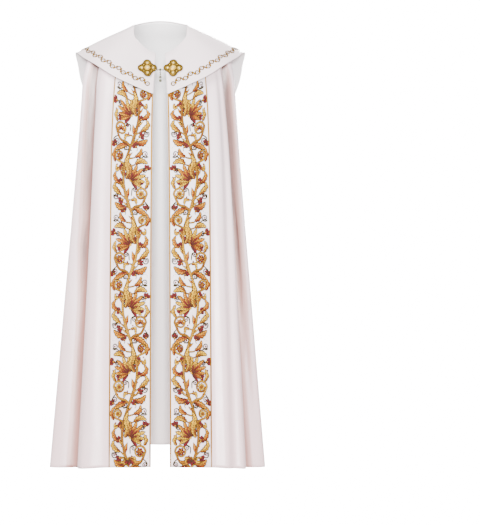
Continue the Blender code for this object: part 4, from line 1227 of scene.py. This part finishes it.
VINE_TENDRILS = [  # guide points, eye, turns
    (((0.04, -0.066), (0.062, -0.078), (0.08, -0.068)), (0.074, -0.062), 1.1),
    (((0.05, 0.056), (0.044, 0.078), (0.052, 0.094)), (0.06, 0.094), -1.1),
    (((0.066, 0.03), (0.078, 0.006), (0.092, -0.012)), (0.094, -0.002), 1.0),
    (((0.02, -0.052), (0.04, -0.06), (0.058, -0.048)), (0.052, -0.044), 1.1),
    (((0.03, -0.1), (0.04, -0.112), (0.03, -0.118)), (0.024, -0.11), -1.0),
]
GRAPES = (0.028, -0.086)  # middle of the top row of a bunch
GRAPE_ROWS, GRAPE_STEP, GRAPE_DROP, GRAPE_RADIUS = 4, 0.0074, 0.0064, 0.0043
CROSS_MIDDLE = np.array([0.0, 0.014])
CROSS_RINGS = [  # radius, width, thread, height
    (0.0325, 0.01, BRONZE, 0.002), (0.038, 0.0034, LEAF, 0.002), (0.027, 0.0034, LEAF, 0.002),
    (0.0325, 0.002, COPPER, 0.0026),
]
CROSS_ARMS = [((0, 1), 0.055), ((0, -1), 0.078), ((1, 0), 0.053), ((-1, 0), 0.053)]  # way and length
KNOT = (0, -0.074)


def settled(tree, points, height, rays=None):
    """Points moved to the nearest place of a surface, or along rays, then out along its normal."""
    placed = []
    for point, rise in zip(points, height):
        point = Vector(point)
        spot, normal, _, _ = tree.find_nearest(point) if rays is None else tree.ray_cast(point, rays)
        placed.append(spot + normal * rise)
    return np.array(placed)


def border_line(collar, side):
    """The middle line of the collar's border, from the back centre to one front edge."""
    line = []
    for rise in collar[::-1, collar.shape[1] // 2 :: side].swapaxes(0, 1):
        inset = BORDER_INSET + 0.007 * math.exp(-((abs(rise[0, 0]) / 0.07) ** 2)) * (rise[0, 1] > 0)
        line.append(read_line([inset], length_along(rise), rise)[0])
    line = np.array(line)
    for _ in range(6):
        line[1:-1] = (line[:-2] + 2 * line[1:-1] + line[2:]) / 4
    along = length_along(line)
    return read_line(np.linspace(0, along[-1] - 0.011, 160), along, line)


def border_placing(tree, line, side):
    """Flat x runs along the border from the back centre; y is in towards the neck."""
    normals = np.array([tree.find_nearest(Vector(p))[1] for p in line])
    forward = unit(np.gradient(line, axis=0))
    inward = unit(np.cross(normals, forward)) * -side
    # rings that look round from the front and the back need to be taller where the collar slopes
    inward *= np.clip(1 / np.sqrt(np.clip(1 - inward[:, 1:2] ** 2, 0.3, 1)), 1, 1.6)
    along = length_along(line)

    def placing(flat, height):
        middle, inward_at, forward_at = (read_line(flat[:, 0], along, part) for part in (line, inward, forward))
        past = flat[:, 0] - np.clip(flat[:, 0], 0, along[-1])
        return settled(tree, middle + inward_at * flat[:, 1:] + forward_at * past[:, None], height)

    return placing, along[-1]


def draw_border(work, reach):
    """A running chain of small rings that lie high and low in turn, joined by a bent stem, with an eye in
    each and a short sprig between them."""
    repeats = int(reach / BORDER_REPEAT)
    step = reach / repeats
    for k in range(repeats):
        up = 1 if k % 2 else -1
        low = k * step
        centre = np.array((low + step * 0.5, up * 0.003))
        rim = centre - (0.0062, 0.0)
        entry = curve_through([(low - step * 0.5 + 0.0058, -up * 0.0044), (low, 0.0), rim - (0.0, up * 0.0004)], 8)
        ring = spiral(centre, rim, -up * 1.04, 0.0059, 26)
        work.cord(np.concatenate([entry[:-1], ring]), np.linspace(0.0042, 0.0047, 33), OLIVE, 0.0018)
        work.dot(centre, 0.0016, BRONZE, 0.0018)
        for sign in (-1, 1):
            sprig = [(low, 0.0), (low + sign * 0.0026, sign * up * 0.004), (low + sign * 0.002, sign * up * 0.0078)]
            work.leaf(curve_through(sprig, 7), 0.006, GOLD, OLIVE)


def quatrefoil(inset, count=26):
    """The barbed quatrefoil, drawn inside its outer line by an inset."""
    size, corner = LOBE_SIZE - inset, BARB - inset
    open_angle = math.acos(min(1, (corner - LOBE_CENTRE) / size))
    turn = np.linspace(open_angle, -open_angle, count)
    lobe = np.stack([-np.sin(turn) * size, LOBE_CENTRE + np.cos(turn) * size], axis=1)
    barb = np.array([[corner, corner]])
    edge = lobe[-1:] + (barb - lobe[-1:]) * np.linspace(0, 1, 5)[1:-1, None]
    quarters = [np.concatenate([lobe, edge, barb, barb + (edge[::-1, ::-1] - barb)])]
    for _ in range(3):
        quarters.append(np.stack([quarters[-1][:, 1], -quarters[-1][:, 0]], axis=1))
    return np.concatenate([*quarters, quarters[0][:1]])


def draw_frame(work):
    """The medallion's frame: a pale speckled field between two gold borders, with eight small crosses."""
    edges = [quatrefoil(inset) for inset in np.linspace(0.004, FRAME_WIDTH - 0.0035, 4)]
    flat = np.stack(edges, axis=1)
    height = np.tile([0.0004, 0.0009, 0.0009, 0.0004], (len(flat), 1))
    uv = uv_grid(length_along(edges[0])[:, None], np.linspace(0, 0.015, 4))
    work.sheet(flat[:, ::-1], height, FIELD, 0.5, 0.5, uv)
    for inset, width, slot, rise in FRAME_LINES:
        work.strip(quatrefoil(inset), width, rise, slot)
    middle = quatrefoil(FRAME_WIDTH / 2)
    along = length_along(middle)
    for k, spot in enumerate(read_line(np.arange(0.004, along[-1], 0.0076), along, middle)):
        spot += unit(spot) * (0.0026 if k % 2 else -0.0026)
        work.dot(spot, 0.0026, BRONZE, 0.0036, 6)
    lobe = LOBE_CENTRE + LOBE_SIZE - FRAME_WIDTH / 2
    corner = BARB - FRAME_WIDTH / 2
    crosses = [(0, lobe), (lobe, 0), (0, -lobe), (-lobe, 0)]
    crosses += [(a * corner, b * corner) for a in (-1, 1) for b in (-1, 1)]
    for x, y in crosses:
        for dx, dy in ((0.0056, 0), (-0.0056, 0), (0, 0.0056), (0, -0.0056)):
            work.dot((x + dx, y + dy), 0.005, CRIMSON, 0.0036, 10, tone=-1.6)
        work.dot((x, y), 0.0014, GOLD, 0.003)


def draw_ear(work, path, grains=6, size=0.0122):
    """A stalk of wheat with its ear."""
    work.cord(path, np.linspace(0.0056, 0.0044, len(path)), BRONZE, 0.0022)
    way = unit(path[-1] - path[-3])
    for k in range(grains):
        root = path[-1] + way * (k - grains * 0.45) * size * 0.5
        for sign in (-1, 1):
            tip = root + way * size * 0.86 + aside(way) * sign * size * 0.46
            spine = curve_through([root, (root + tip) / 2 + aside(way) * sign * size * 0.14, tip], 7)
            work.leaf(spine, size * 0.42, COPPER if k % 2 else OLIVE, BRONZE, height=0.0014, base=0.0008)
    top = path[-1] + way * grains * 0.54 * size * 0.5
    spine = curve_through([top, top + way * size * 0.5, top + way * size], 7)
    work.leaf(spine, size * 0.46, GOLD, BRONZE, height=0.0012, base=0.0008)


def draw_cross(work):
    """A plain flared cross with a ring, padded and edged in gold."""
    middle = CROSS_MIDDLE
    circle = on_circle(np.linspace(0, TAU, 73))
    for radius, width, slot, rise in CROSS_RINGS:
        work.strip(middle + circle * radius, width, rise, slot)
    share = np.linspace(0, 1, 26)
    width = 0.019 + 0.016 * np.clip(share - 0.35, 0, 1) ** 1.6 * 1.9
    for way, reach in CROSS_ARMS:
        way = np.array(way, float)
        path = middle + way * (share * reach)[:, None]
        work.strip(path, width, 0.0024, BRONZE, base=0.001)
        side = left_of(path) * (width / 2)[:, None]
        for sign in (-1, 1):
            work.cord(path + side * sign, 0.0032, LEAF, 0.0026)
            work.cord(path[5:] + side[5:] * sign * 0.4, 0.002, LEAF, 0.0005, base=0.0032)
        end = np.array([path[-1] + side[-1], path[-1] + way * 0.003, path[-1] - side[-1]])
        work.cord(curve_through(end, 12), 0.0032, LEAF, 0.0026)
    work.petals(middle, 0.0125, 4, CRIMSON, GOLD, 0, width=0.7, base=0.0028, points=9)
    work.dot(middle, 0.003, LEAF, 0.0048)


def draw_medallion(work):
    draw_frame(work)
    for side in (-1, 1):
        for stalk, grains in EARS:
            draw_ear(work, curve_through(np.array(stalk) * [side, 1], 22), grains)
        for place, size, facing in VINE_LEAVES:
            place = np.array(place) * [side, 1]
            work.petals(place, size, 5, COPPER, BRONZE, facing if side > 0 else math.pi - facing, 4.2, 0.7, tone=0.6,
                        base=0.0004, veins=1, lengths=(1.0, 0.86, 0.62))
            work.dot(place, size * 0.16, BRONZE, 0.002)
        for points, eye, turns in VINE_TENDRILS:
            points, eye = np.array(points) * [side, 1], np.array(eye) * [side, 1]
            draw_tendril(work, points, eye, side * turns, 0.0032, 0.0052, COPPER)
        for row in range(GRAPE_ROWS):
            for column in range(GRAPE_ROWS - row):
                x = GRAPES[0] + (column + row * 0.5 - (GRAPE_ROWS - 1) / 2) * GRAPE_STEP
                spot = (side * x, GRAPES[1] - row * GRAPE_DROP)
                work.dot(spot, GRAPE_RADIUS, CRIMSON, 0.0034, 10, tone=0.1 + 0.1 * column)
    draw_ear(work, curve_through([(0, 0.06), (0, 0.072), (0, 0.084)], 10))
    draw_cross(work)
    for sign in (-1, 1):
        loop = [KNOT, (sign * 0.013, -0.065), (sign * 0.022, -0.074), (sign * 0.01, -0.081), KNOT]
        work.strip(curve_through(loop, 24), 0.0042, 0.0018, CRIMSON, base=0.0012, fade=True)
    work.dot(KNOT, 0.006, GOLD, 0.0042)


def make_collar_work(collar, looks):
    tree = surface_tree(collar)
    pieces = []
    for side, word in SIDES:
        placing, reach = border_placing(tree, border_line(collar, side), side)
        border = Stitching(placing, mirrored=side > 0)
        draw_border(border, reach)
        if side < 0:
            border.petals((0, 0.006), 0.012, 3, COPPER, BRONZE, -math.pi / 2, 1.5, points=8)
            border.dot((0, 0.004), 0.0026, CRIMSON, 0.0016)
        pieces.append(border.shape.piece("collar_border_" + word, looks, "collar_satin"))

    def placing(flat, height):
        start = np.stack([-flat[:, 0], np.full(len(flat), 1.0), flat[:, 1] + MEDALLION_Z], axis=1)
        return settled(tree, start, height, Vector((0, -1, 0)))

    medallion = Stitching(placing)
    draw_medallion(medallion)
    return pieces + [medallion.shape.piece("hood_medallion", looks, "collar_satin")]


STONE_SLOT, GROUND_SLOT, AMBER_SLOT = 1, 2, 3
GUIDE = np.array([0.31, 0.17, 0.93])  # a way that no wire runs in
PLATE_ROWS = [  # size and height of each row of the rosette's plate, from the middle of its face to its back
    (0.02, PLATE_THICKNESS + 0.0007), (0.35, PLATE_THICKNESS + 0.0005), (0.7, PLATE_THICKNESS),
    (0.93, PLATE_THICKNESS), (1.0, PLATE_THICKNESS * 0.7), (1.0, 0.0003), (0.02, 0.0),
]
BOSS_PROFILE = [(0.0098, 0.0), (0.0096, 0.001), (0.0084, 0.0015), (0.0072, 0.0013), (0.0066, 0.0021), (0.005, 0.0024)]
LOBE_STONE, LOBE_STONE_HEIGHT, BOSS_STONE, BOSS_STONE_HEIGHT = 0.0032, 0.0019, 0.0046, 0.0024
FILIGREE_WIRE = 0.00045
SETTING = [(0.8, -0.6), (1.14, -0.55), (1.2, 0.0), (1.1, 0.42), (1.0, 0.46), (0.97, 0.3)]  # shares of a stone's size
FACETS = [(0.98, -0.25, 0.0), (1.0, 0.25, 0.5), (0.82, 0.68, 0.0), (0.5, 1.0, 0.5), (0.02, 1.02, 0.0)]
ACROSS, OUT, UP = np.eye(3)


def steps_along(path, closed):
    return unit(np.roll(path, -1, 0) - np.roll(path, 1, 0) if closed else np.gradient(path, axis=0))


def tube(shape, path, radius, slot=0, sides=8, closed=False, tone=0.5):
    """A round wire along a line of points."""
    path = np.asarray(path, float)
    step = steps_along(path, closed)
    first = unit(np.cross(step, GUIDE))
    second = np.cross(step, first)
    turn = round_points(sides)[0]
    ring = first[:, None] * np.cos(turn)[None, :, None] + second[:, None] * np.sin(turn)[None, :, None]
    points = path[:, None] + ring * radius
    if closed:
        points = np.concatenate([points, points[:1]])
    else:
        points = np.concatenate([path[:1, None] + ring[:1] * 1e-5, points, path[-1:, None] + ring[-1:] * 1e-5])
    share = np.linspace(0, 1, len(points))[:, None]
    uv = uv_grid(share * length_along(path)[-1], turn / 6.3 * TAU * radius)
    shape.grid(points[:, ::-1], slot, uv[:, ::-1], share, tone, closed=True)


def rope(shape, path, radius, pitch, slot=0, strands=2, sides=7, closed=False, tone=0.5, per_turn=9):
    """Strands twisted round a line."""
    path = np.concatenate([path, path[:1]]) if closed else np.asarray(path, float)
    total = length_along(path)
    turns = max(1, round(total[-1] / pitch))
    at = np.linspace(0, total[-1], turns * per_turn + 1)
    fine = read_line(at, total, path)
    steps = steps_along(fine, False)
    side, sides_at = np.cross(steps[0], GUIDE), []
    for way in steps:  # a side that turns as little as it can
        side = unit(side - way * np.dot(side, way))
        sides_at.append(side)
    first = np.array(sides_at)
    second = np.cross(steps, first)
    for k in range(strands):
        angle = TAU * (turns * at / total[-1] + k / strands)
        offset = first * np.cos(angle)[:, None] + second * np.sin(angle)[:, None]
        tube(shape, fine + offset * radius * 0.5, radius * 0.56, slot, sides, tone=tone)


def moved(points, place):
    matrix = np.array(place)
    return points @ matrix[:3, :3].T + matrix[:3, 3]


def raised(place, height):
    return place @ Matrix.Translation((0, 0, height))


def bead(shape, centre, radius, slot=0, steps=10, place=None, flat=1.0):
    """A small ball, or a dome on its place if flat is under 1."""
    up, turn = np.linspace(math.pi, 0, steps // 2 + 1)[:, None], round_points(steps)[0][None, :]
    ball = np.stack([np.sin(up) * np.cos(turn), np.sin(up) * np.sin(turn), flat * np.cos(up) + 0 * turn], axis=-1)
    points = ball * radius + np.asarray(centre)
    shape.grid(points if place is None else moved(points, place), slot, closed=True)


def lathe(shape, profile, place, slot=0, steps=40, wave=None):
    """A turned form about its place's Z from (radius, z) pairs; wave(turn, row share) scales its radius."""
    profile = np.asarray(profile, float)
    turn = round_points(steps)[0][None, :]
    share = np.linspace(0, 1, len(profile))[:, None]
    radius = profile[:, :1] * (1 if wave is None else wave(turn, share))
    points = np.stack([radius * np.cos(turn), radius * np.sin(turn), profile[:, 1:] + 0 * turn], axis=-1)
    uv = uv_grid(length_along(profile)[:, None], turn / 6.3 * 0.05)
    shape.grid(moved(points, place), slot, uv, share, closed=True)


def cut_stone(shape, place, radius, height, facets=10, slot=STONE_SLOT):
    """A faceted stone in a claw setting, standing on its place. A row of FACETS is a ring's share of the radius
    and of the height, and how far it is turned, in facets."""
    for k in range(facets):
        wedge = []
        for size, lift, spin in FACETS:
            row = [(k + spin + j) * TAU / facets for j in (0, 1)]
            wedge.append([[math.cos(a) * size * radius, math.sin(a) * size * radius, lift * height] for a in row])
        shape.grid(moved(np.array(wedge), place), slot)
    lathe(shape, [(radius * r, height * z) for r, z in SETTING], place, steps=28)
    for k in range(4):
        spot = toward((k + 0.5) * math.pi / 2) * radius * 1.04
        bead(shape, (*spot, height * 0.55), radius * 0.17, steps=8, place=place)


def rosette_place(side):
    """Where a rosette's back rests on the frame's collar, and the way it faces."""
    mesh = frame["nodes"]["collar_hood"].data
    tree = BVHTree.FromPolygons([v.co for v in mesh.vertices], [polygon.vertices[:] for polygon in mesh.polygons])
    hits = []
    for radius, count in ((0.0, 1), (0.01, 8), (0.02, 16), (0.03, 24)):
        for k in range(count):
            x, z = toward(TAU * k / count) * radius
            spot, normal, _, _ = tree.ray_cast(Vector((side * ROSETTE_X + x, -1, ROSETTE_Z + z)), Vector(OUT))
            if spot is not None and spot.y < 0:
                hits.append((spot, normal))
    out = sum((normal for _, normal in hits), Vector()).normalized()
    centre = hits[0][0]
    near = [vertex.co for vertex in mesh.vertices if (vertex.co - centre).length < 0.045]
    rise = max((spot - centre).dot(out) for spot in near + [spot for spot, _ in hits])
    x_axis = Vector(UP).cross(out).normalized()
    turn = Matrix((x_axis, out.cross(x_axis), out)).transposed().to_4x4()
    return Matrix.Translation(centre + out * (rise + SEAM_GAP)) @ turn


def lobed_outline(scale=1.0, count=144):
    """The rosette's outline: four round lobes on a hub, as flat points."""
    way = round_points(count)[1]
    reach = np.full(count, HUB_RADIUS * scale)
    for k in range(4):
        ahead = way @ (LOBE_OFFSET * toward(k * math.pi / 2))
        inside = (LOBE_RADIUS * scale) ** 2 - LOBE_OFFSET**2 + ahead**2
        reach = np.maximum(reach, np.where(inside > 0, ahead + np.sqrt(np.abs(inside)), 0))
    for _ in range(3):
        reach = (np.roll(reach, 1) + 2 * reach + np.roll(reach, -1)) / 4
    return way * reach[:, None]


def at_height(points, height):
    return np.column_stack([points, np.full(len(points), height)])


def flat_wire(shape, place, points, radius, height, closed=False):
    tube(shape, moved(at_height(points, height), place), radius, sides=6, closed=closed)


def grains(shape, place, spots, height, radius, steps=6):
    for spot in spots:
        bead(shape, (*spot, height), radius, steps=steps, place=place)


def wire_ring(shape, centre, first, second):
    turn = round_points(32)[0][:, None]
    tube(shape, np.asarray(centre) + (np.cos(turn) * first + np.sin(turn) * second) * LINK_RADIUS, WIRE, closed=True)


def make_rosette(name, place, side, eye, looks):
    """A filigree rosette: a plate of dark gilt, painted shade that makes it look pierced, a rope rim, scrolls and
    beads, and five set stones.
    """
    shape = Shape()
    outline, top = lobed_outline(), PLATE_THICKNESS
    plate = np.array([at_height(outline * size, lift) for size, lift in PLATE_ROWS])[::-1]
    shape.grid(moved(plate, place), GROUND_SLOT, uv=plate[:, :, :2], closed=True)
    rope(shape, moved(at_height(lobed_outline(0.965), top + 0.0004), place), 0.0011, 0.003, closed=True)
    flat_wire(shape, place, lobed_outline(0.88), 0.00042, top + 0.0005, closed=True)
    grains(shape, place, lobed_outline(0.925, 72), top + 0.0004, 0.00055)
    for k in range(4):
        lobe = place @ Matrix.Rotation(k * math.pi / 2, 4, "Z") @ Matrix.Translation((LOBE_OFFSET, 0, 0))
        cut_stone(shape, raised(lobe, top + 0.0009), LOBE_STONE, LOBE_STONE_HEIGHT, slot=AMBER_SLOT)
        flat_wire(shape, lobe, round_points(40)[1] * 0.0052, FILIGREE_WIRE, top + 0.0006, closed=True)
        grains(shape, lobe, [toward(TAU * j / 14) * 0.0064 for j in range(14)], top + 0.0005, 0.00062)
        for sign in (-1, 1):
            for base, turns in (((0.0068, sign * 0.0046), sign * 0.9), ((-0.003, sign * 0.0084), -sign * 1.1)):
                start = np.array(base) + (0.0022, sign * 0.0012)
                flat_wire(shape, lobe, spiral(base, start, turns, 0.0006, 18), FILIGREE_WIRE, top + 0.0007)
        gap = place @ Matrix.Rotation((k + 0.5) * math.pi / 2, 4, "Z")
        bead(shape, (0.0165, 0, top + 0.0004), 0.0013, place=gap, flat=0.7)
        for sign in (-1, 1):
            centre = np.array([0.0132, sign * 0.003])
            scroll = spiral(centre, centre + [-0.0022, -sign * 0.002], sign * 1.3, 0.0006, 20)
            flat_wire(shape, gap, scroll, 0.0005, top + 0.0008)
            grains(shape, gap, [centre], top + 0.0007, 0.0006)
    boss = raised(place, top)
    lathe(shape, BOSS_PROFILE, boss, steps=36)
    rope(shape, moved(at_height(round_points(60)[1] * 0.0096, 0.0012), boss), 0.0007, 0.0022, closed=True, sides=6)
    grains(shape, boss, [toward(TAU * j / 16) * 0.0076 for j in range(16)], 0.0019, 0.0008, steps=8)
    cut_stone(shape, raised(boss, 0.0028), BOSS_STONE, BOSS_STONE_HEIGHT, 12, AMBER_SLOT)
    start = place @ Vector((-side * LOBE_OFFSET, 0, PLATE_THICKNESS * 1.3))
    end = Vector(eye) + Vector((side * (LINK_RADIUS - WIRE * 0.3), 0, 0))
    rope(shape, [start.lerp(end, f) for f in np.linspace(0, 1, 9)], WIRE * 1.1, 0.0022, sides=6)
    wire_ring(shape, eye, ACROSS, UP)
    shape.piece(name + "_filigree", looks, "clasp_gold", sharp=CLASP_SHARP, stands_for=name)


def make_clasp(looks, fine_looks):
    hinge = Vector(next(joint for joint in frame["joints"] if joint["name"] == "drop_swing")["pos_m"])
    centre = hinge + Vector((0, 0, HINGE_TO_STONE))
    face = Matrix.Rotation(math.pi / 2, 4, "X")
    link = Shape()
    cut_stone(link, Matrix.Translation(centre) @ face, CENTRE_STONE_RADIUS * SETTING_SHARE, SMALL_STONE_HEIGHT)
    for sign in (-1, 1):
        wire_ring(link, centre + Vector((sign * HINGE_TO_STONE, 0, 0)), ACROSS, OUT)
    wire_ring(link, hinge, OUT, UP)
    link.piece("clasp_link_fine", fine_looks, "clasp_gold", sharp=CLASP_SHARP, stands_for="clasp_link")
    step = 2 * LINK_RADIUS - 2 * WIRE - SEAM_GAP
    for side, word in SIDES:
        eye = centre + Vector((side * (HINGE_TO_STONE + step), 0, 0))
        make_rosette("rosette_" + word, rosette_place(side), side, eye, looks)
    drop = Shape()
    y = hinge.y
    wire_ring(drop, hinge - Vector((0, 0, LINK_RADIUS)), ACROSS, UP)
    bottom = hinge.z - 2 * LINK_RADIUS
    stem_end = bottom - STEM_LENGTH
    upper = stem_end - DROP_STONE_RADIUS
    lower = upper - DROP_STONE_RADIUS - DROP_END_STONE_RADIUS - STONE_GAP
    for top, end, count in ((bottom + 0.0003, stem_end - 0.001, 6),
                            (upper - DROP_STONE_RADIUS, lower + DROP_END_STONE_RADIUS, 5)):
        tube(drop, [(0, y, z) for z in np.linspace(top, end, count)], WIRE * 0.8)
    for below, radius, steps in ((0.004, 0.0023, 14), (0.0015, 0.0012, 10), (0.0065, 0.0012, 10)):
        bead(drop, (0, y, bottom - below), radius, steps=steps)
    for z, radius in ((upper, DROP_STONE_RADIUS), (lower, DROP_END_STONE_RADIUS)):
        cut_stone(drop, Matrix.Translation((0, y, z)) @ face, radius * SETTING_SHARE, SMALL_STONE_HEIGHT)
    drop.piece("clasp_drop_fine", fine_looks, "clasp_gold", body="drop", sharp=CLASP_SHARP, stands_for="clasp_drop")


def make_tassel(collar, looks):
    """The bullion tassel: a plied cord, a wound ball, a netted skirt, and twisted locks."""
    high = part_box("tassel")[1]
    y = high[1] - high[0]  # its middle: it is round, and half its width lies before its farthest point
    shape = Shape()
    ball_z = TASSEL_TOP_Z - TASSEL_BALL_RADIUS
    skirt_top = ball_z - TASSEL_BALL_RADIUS * 0.75
    tip = collar[-1, collar.shape[1] // 2]
    sag = (0, (tip[1] + y) / 2, (tip[2] + ball_z) / 2 + 0.006)
    cord = [(0, tip[1] - 0.001, tip[2] - 0.0004), sag, (0, y, ball_z)]
    rope(shape, curve_through(cord, 24), CORD_RADIUS, CORD_PITCH, 1)
    sphere = on_circle(np.linspace(0, math.pi, 25))[:, ::-1] * TASSEL_BALL_RADIUS
    sphere[0, 0] = sphere[-1, 0] = 0.0001
    lathe(shape, sphere, Matrix.Translation((0, y, ball_z)), slot=2, steps=96,
          wave=lambda turn, share: 1 + 0.045 * np.abs(np.sin(turn * 12 + share * 2.6)))
    skirt = smooth_rows(TASSEL_SKIRT, np.linspace(0, len(TASSEL_SKIRT) - 1, 46))
    lathe(shape, skirt, Matrix.Translation((0, y, skirt_top)), slot=2, steps=112,
          wave=lambda turn, share: 1 + 0.035 * np.abs(np.sin(turn * 14)))
    bell = skirt[(skirt[:, 1] < -0.004) & (skirt[:, 1] > -0.034)]
    for k in range(NET_WIRES):
        for sign in (-1, 1):
            turn = TAU * k / NET_WIRES + sign * np.linspace(0, NET_TWIST, len(bell))
            net = np.stack([np.cos(turn), np.sin(turn), bell[:, 1] / (bell[:, 0] + NET_LIFT)], axis=1)
            tube(shape, net * (bell[:, :1] + NET_LIFT) + [0, y, skirt_top], NET_RADIUS, 0, 6, tone=0.9)
    for radius, z, thick in SKIRT_ROPES:
        ring = at_height(round_points(60)[1] * radius + [0, y], skirt_top + z)
        rope(shape, ring, thick, 0.003, closed=True, sides=6)
    root = skirt_top - 0.043
    chance = np.random.default_rng(5)
    for count, radius, lean in STRAND_RINGS:
        for k in range(count):
            out = np.array([*toward(TAU * (k + 0.5) / count), 0])
            foot = out * (radius + lean * STRAND_LENGTH / 0.01)
            sway = np.append(chance.uniform(-0.0007, 0.0007, 2), 0)
            drop = np.array([0, 0, -STRAND_LENGTH - chance.uniform(-0.0016, 0.0016)])
            start = out * radius + [0, y, root + 0.002]
            path = curve_through([start, start + (foot - out * radius) * 0.4 + drop * 0.45 + sway,
                                  foot + [0, y, root] + drop], 20)
            rope(shape, path, STRAND_SIDE / 2, STRAND_PITCH, sides=6, tone=chance.uniform(0.0, 1.0), per_turn=6)
    shape.piece("bullion_tassel", looks, "tassel_gold", stands_for="tassel")


def make_body(surface, hollow, girths, looks):
    first, last = np.flatnonzero(both(girths, girths) == SIDE_SEAM)
    made = {}
    for node, columns, gap, far_gap in (("front_right", slice(0, first + 1), 0, SIDE_SEAM_GAP),
                                        ("back", slice(first, last + 1), SIDE_SEAM_GAP, SIDE_SEAM_GAP),
                                        ("front_left", slice(last, None), SIDE_SEAM_GAP, 0)):
        grid = edged(surface[:, columns], gap, far_gap)
        made[node] = cloth(node + "_satin", grid, BODY_WALL, looks, "satin", node, hollow[:, columns])
    return made


def main():
    make_camera()
    daylight()
    make_floor()
    # Painted shade of the folds, from light brown to deep brown; the inside takes almost none of it
    fold_shade_stops = [(0.4, (0.7, 0.54, 0.49)), (0.68, (0.4, 0.245, 0.195)), (0.95, (0.19, 0.095, 0.07))]
    inside = satin("ivory_satin_inside", (0.93, 0.915, 0.92), (0.91, 0.895, 0.9), [(0.95, (0.98, 0.97, 0.97))])
    body_satin = [satin("ivory_satin", (0.89, 0.735, 0.765), (0.84, 0.675, 0.705), fold_shade_stops), inside]
    collar_satin = [satin("collar_ivory_satin", (0.845, 0.72, 0.74), (0.795, 0.675, 0.69), fold_shade_stops), inside]
    band_silk = [satin("white_silk", (0.87, 0.8, 0.825), (0.83, 0.755, 0.78), fold_shade_stops, 0.0005, 0.0009, 0.5), inside]
    looks = embroidery_looks()
    levels, girths = row_levels(BODY_ROWS), body_girths()
    surface, hollow = body_surface(levels, girths)
    body = make_body(surface, hollow, girths, body_satin)
    top = int(np.searchsorted(levels, BAND_TOP_LEVEL))
    outer = (surface + grid_normals(surface) * (SEAM_GAP + BAND_WALL))[top:]
    bands = {-1: outer[:, : BAND_COLUMNS + 1], 1: outer[:, -BAND_COLUMNS - 1 :]}
    for side, word in SIDES:
        piece = cloth("band_ground_" + word, bands[side], BAND_WALL, band_silk, "band_silk", "band_" + word)
        make_band_work(bands[side], side, word, looks)
    near = levels < 8
    tree = surface_tree(surface[near], *[band[near[top:]] for band in bands.values()])
    collar = collar_surface(tree, surface[0])
    piece = cloth("collar_satin", collar, COLLAR_WALL, collar_satin, "collar_satin", "collar_hood")
    make_collar_work(collar, looks)
    crystal, amber = stone("crystal", (0.1, 0.1, 0.065)), stone("amber_stone", (0.86, 0.66, 0.24))
    # The rosette's plate: dark gilt, painted shade for the openings of the filigree
    shaded_ground = gilt("gilt_ground_painted_shade", (0.19, 0.115, 0.012), (0.045, 0.026, 0.002), 0.42, 1500)
    make_clasp([gilt("gilt", (1.0, 0.66, 0.1), (0.11, 0.058, 0.004)), crystal, shaded_ground, amber],
               [gilt("gilt_wire", (0.17, 0.13, 0.04), (0.02, 0.015, 0.004)), crystal, shaded_ground, amber])
    make_tassel(collar, [bullion("bullion_gold", (0.68, 0.42, 0.05), (0.1, 0.05, 0.004)),
                         bullion("cord_white", (0.6, 0.55, 0.44), (0.44, 0.36, 0.24), 0.0),
                         bullion("bullion_head", (0.36, 0.205, 0.11), (0.14, 0.07, 0.03), 0.25)])


main()
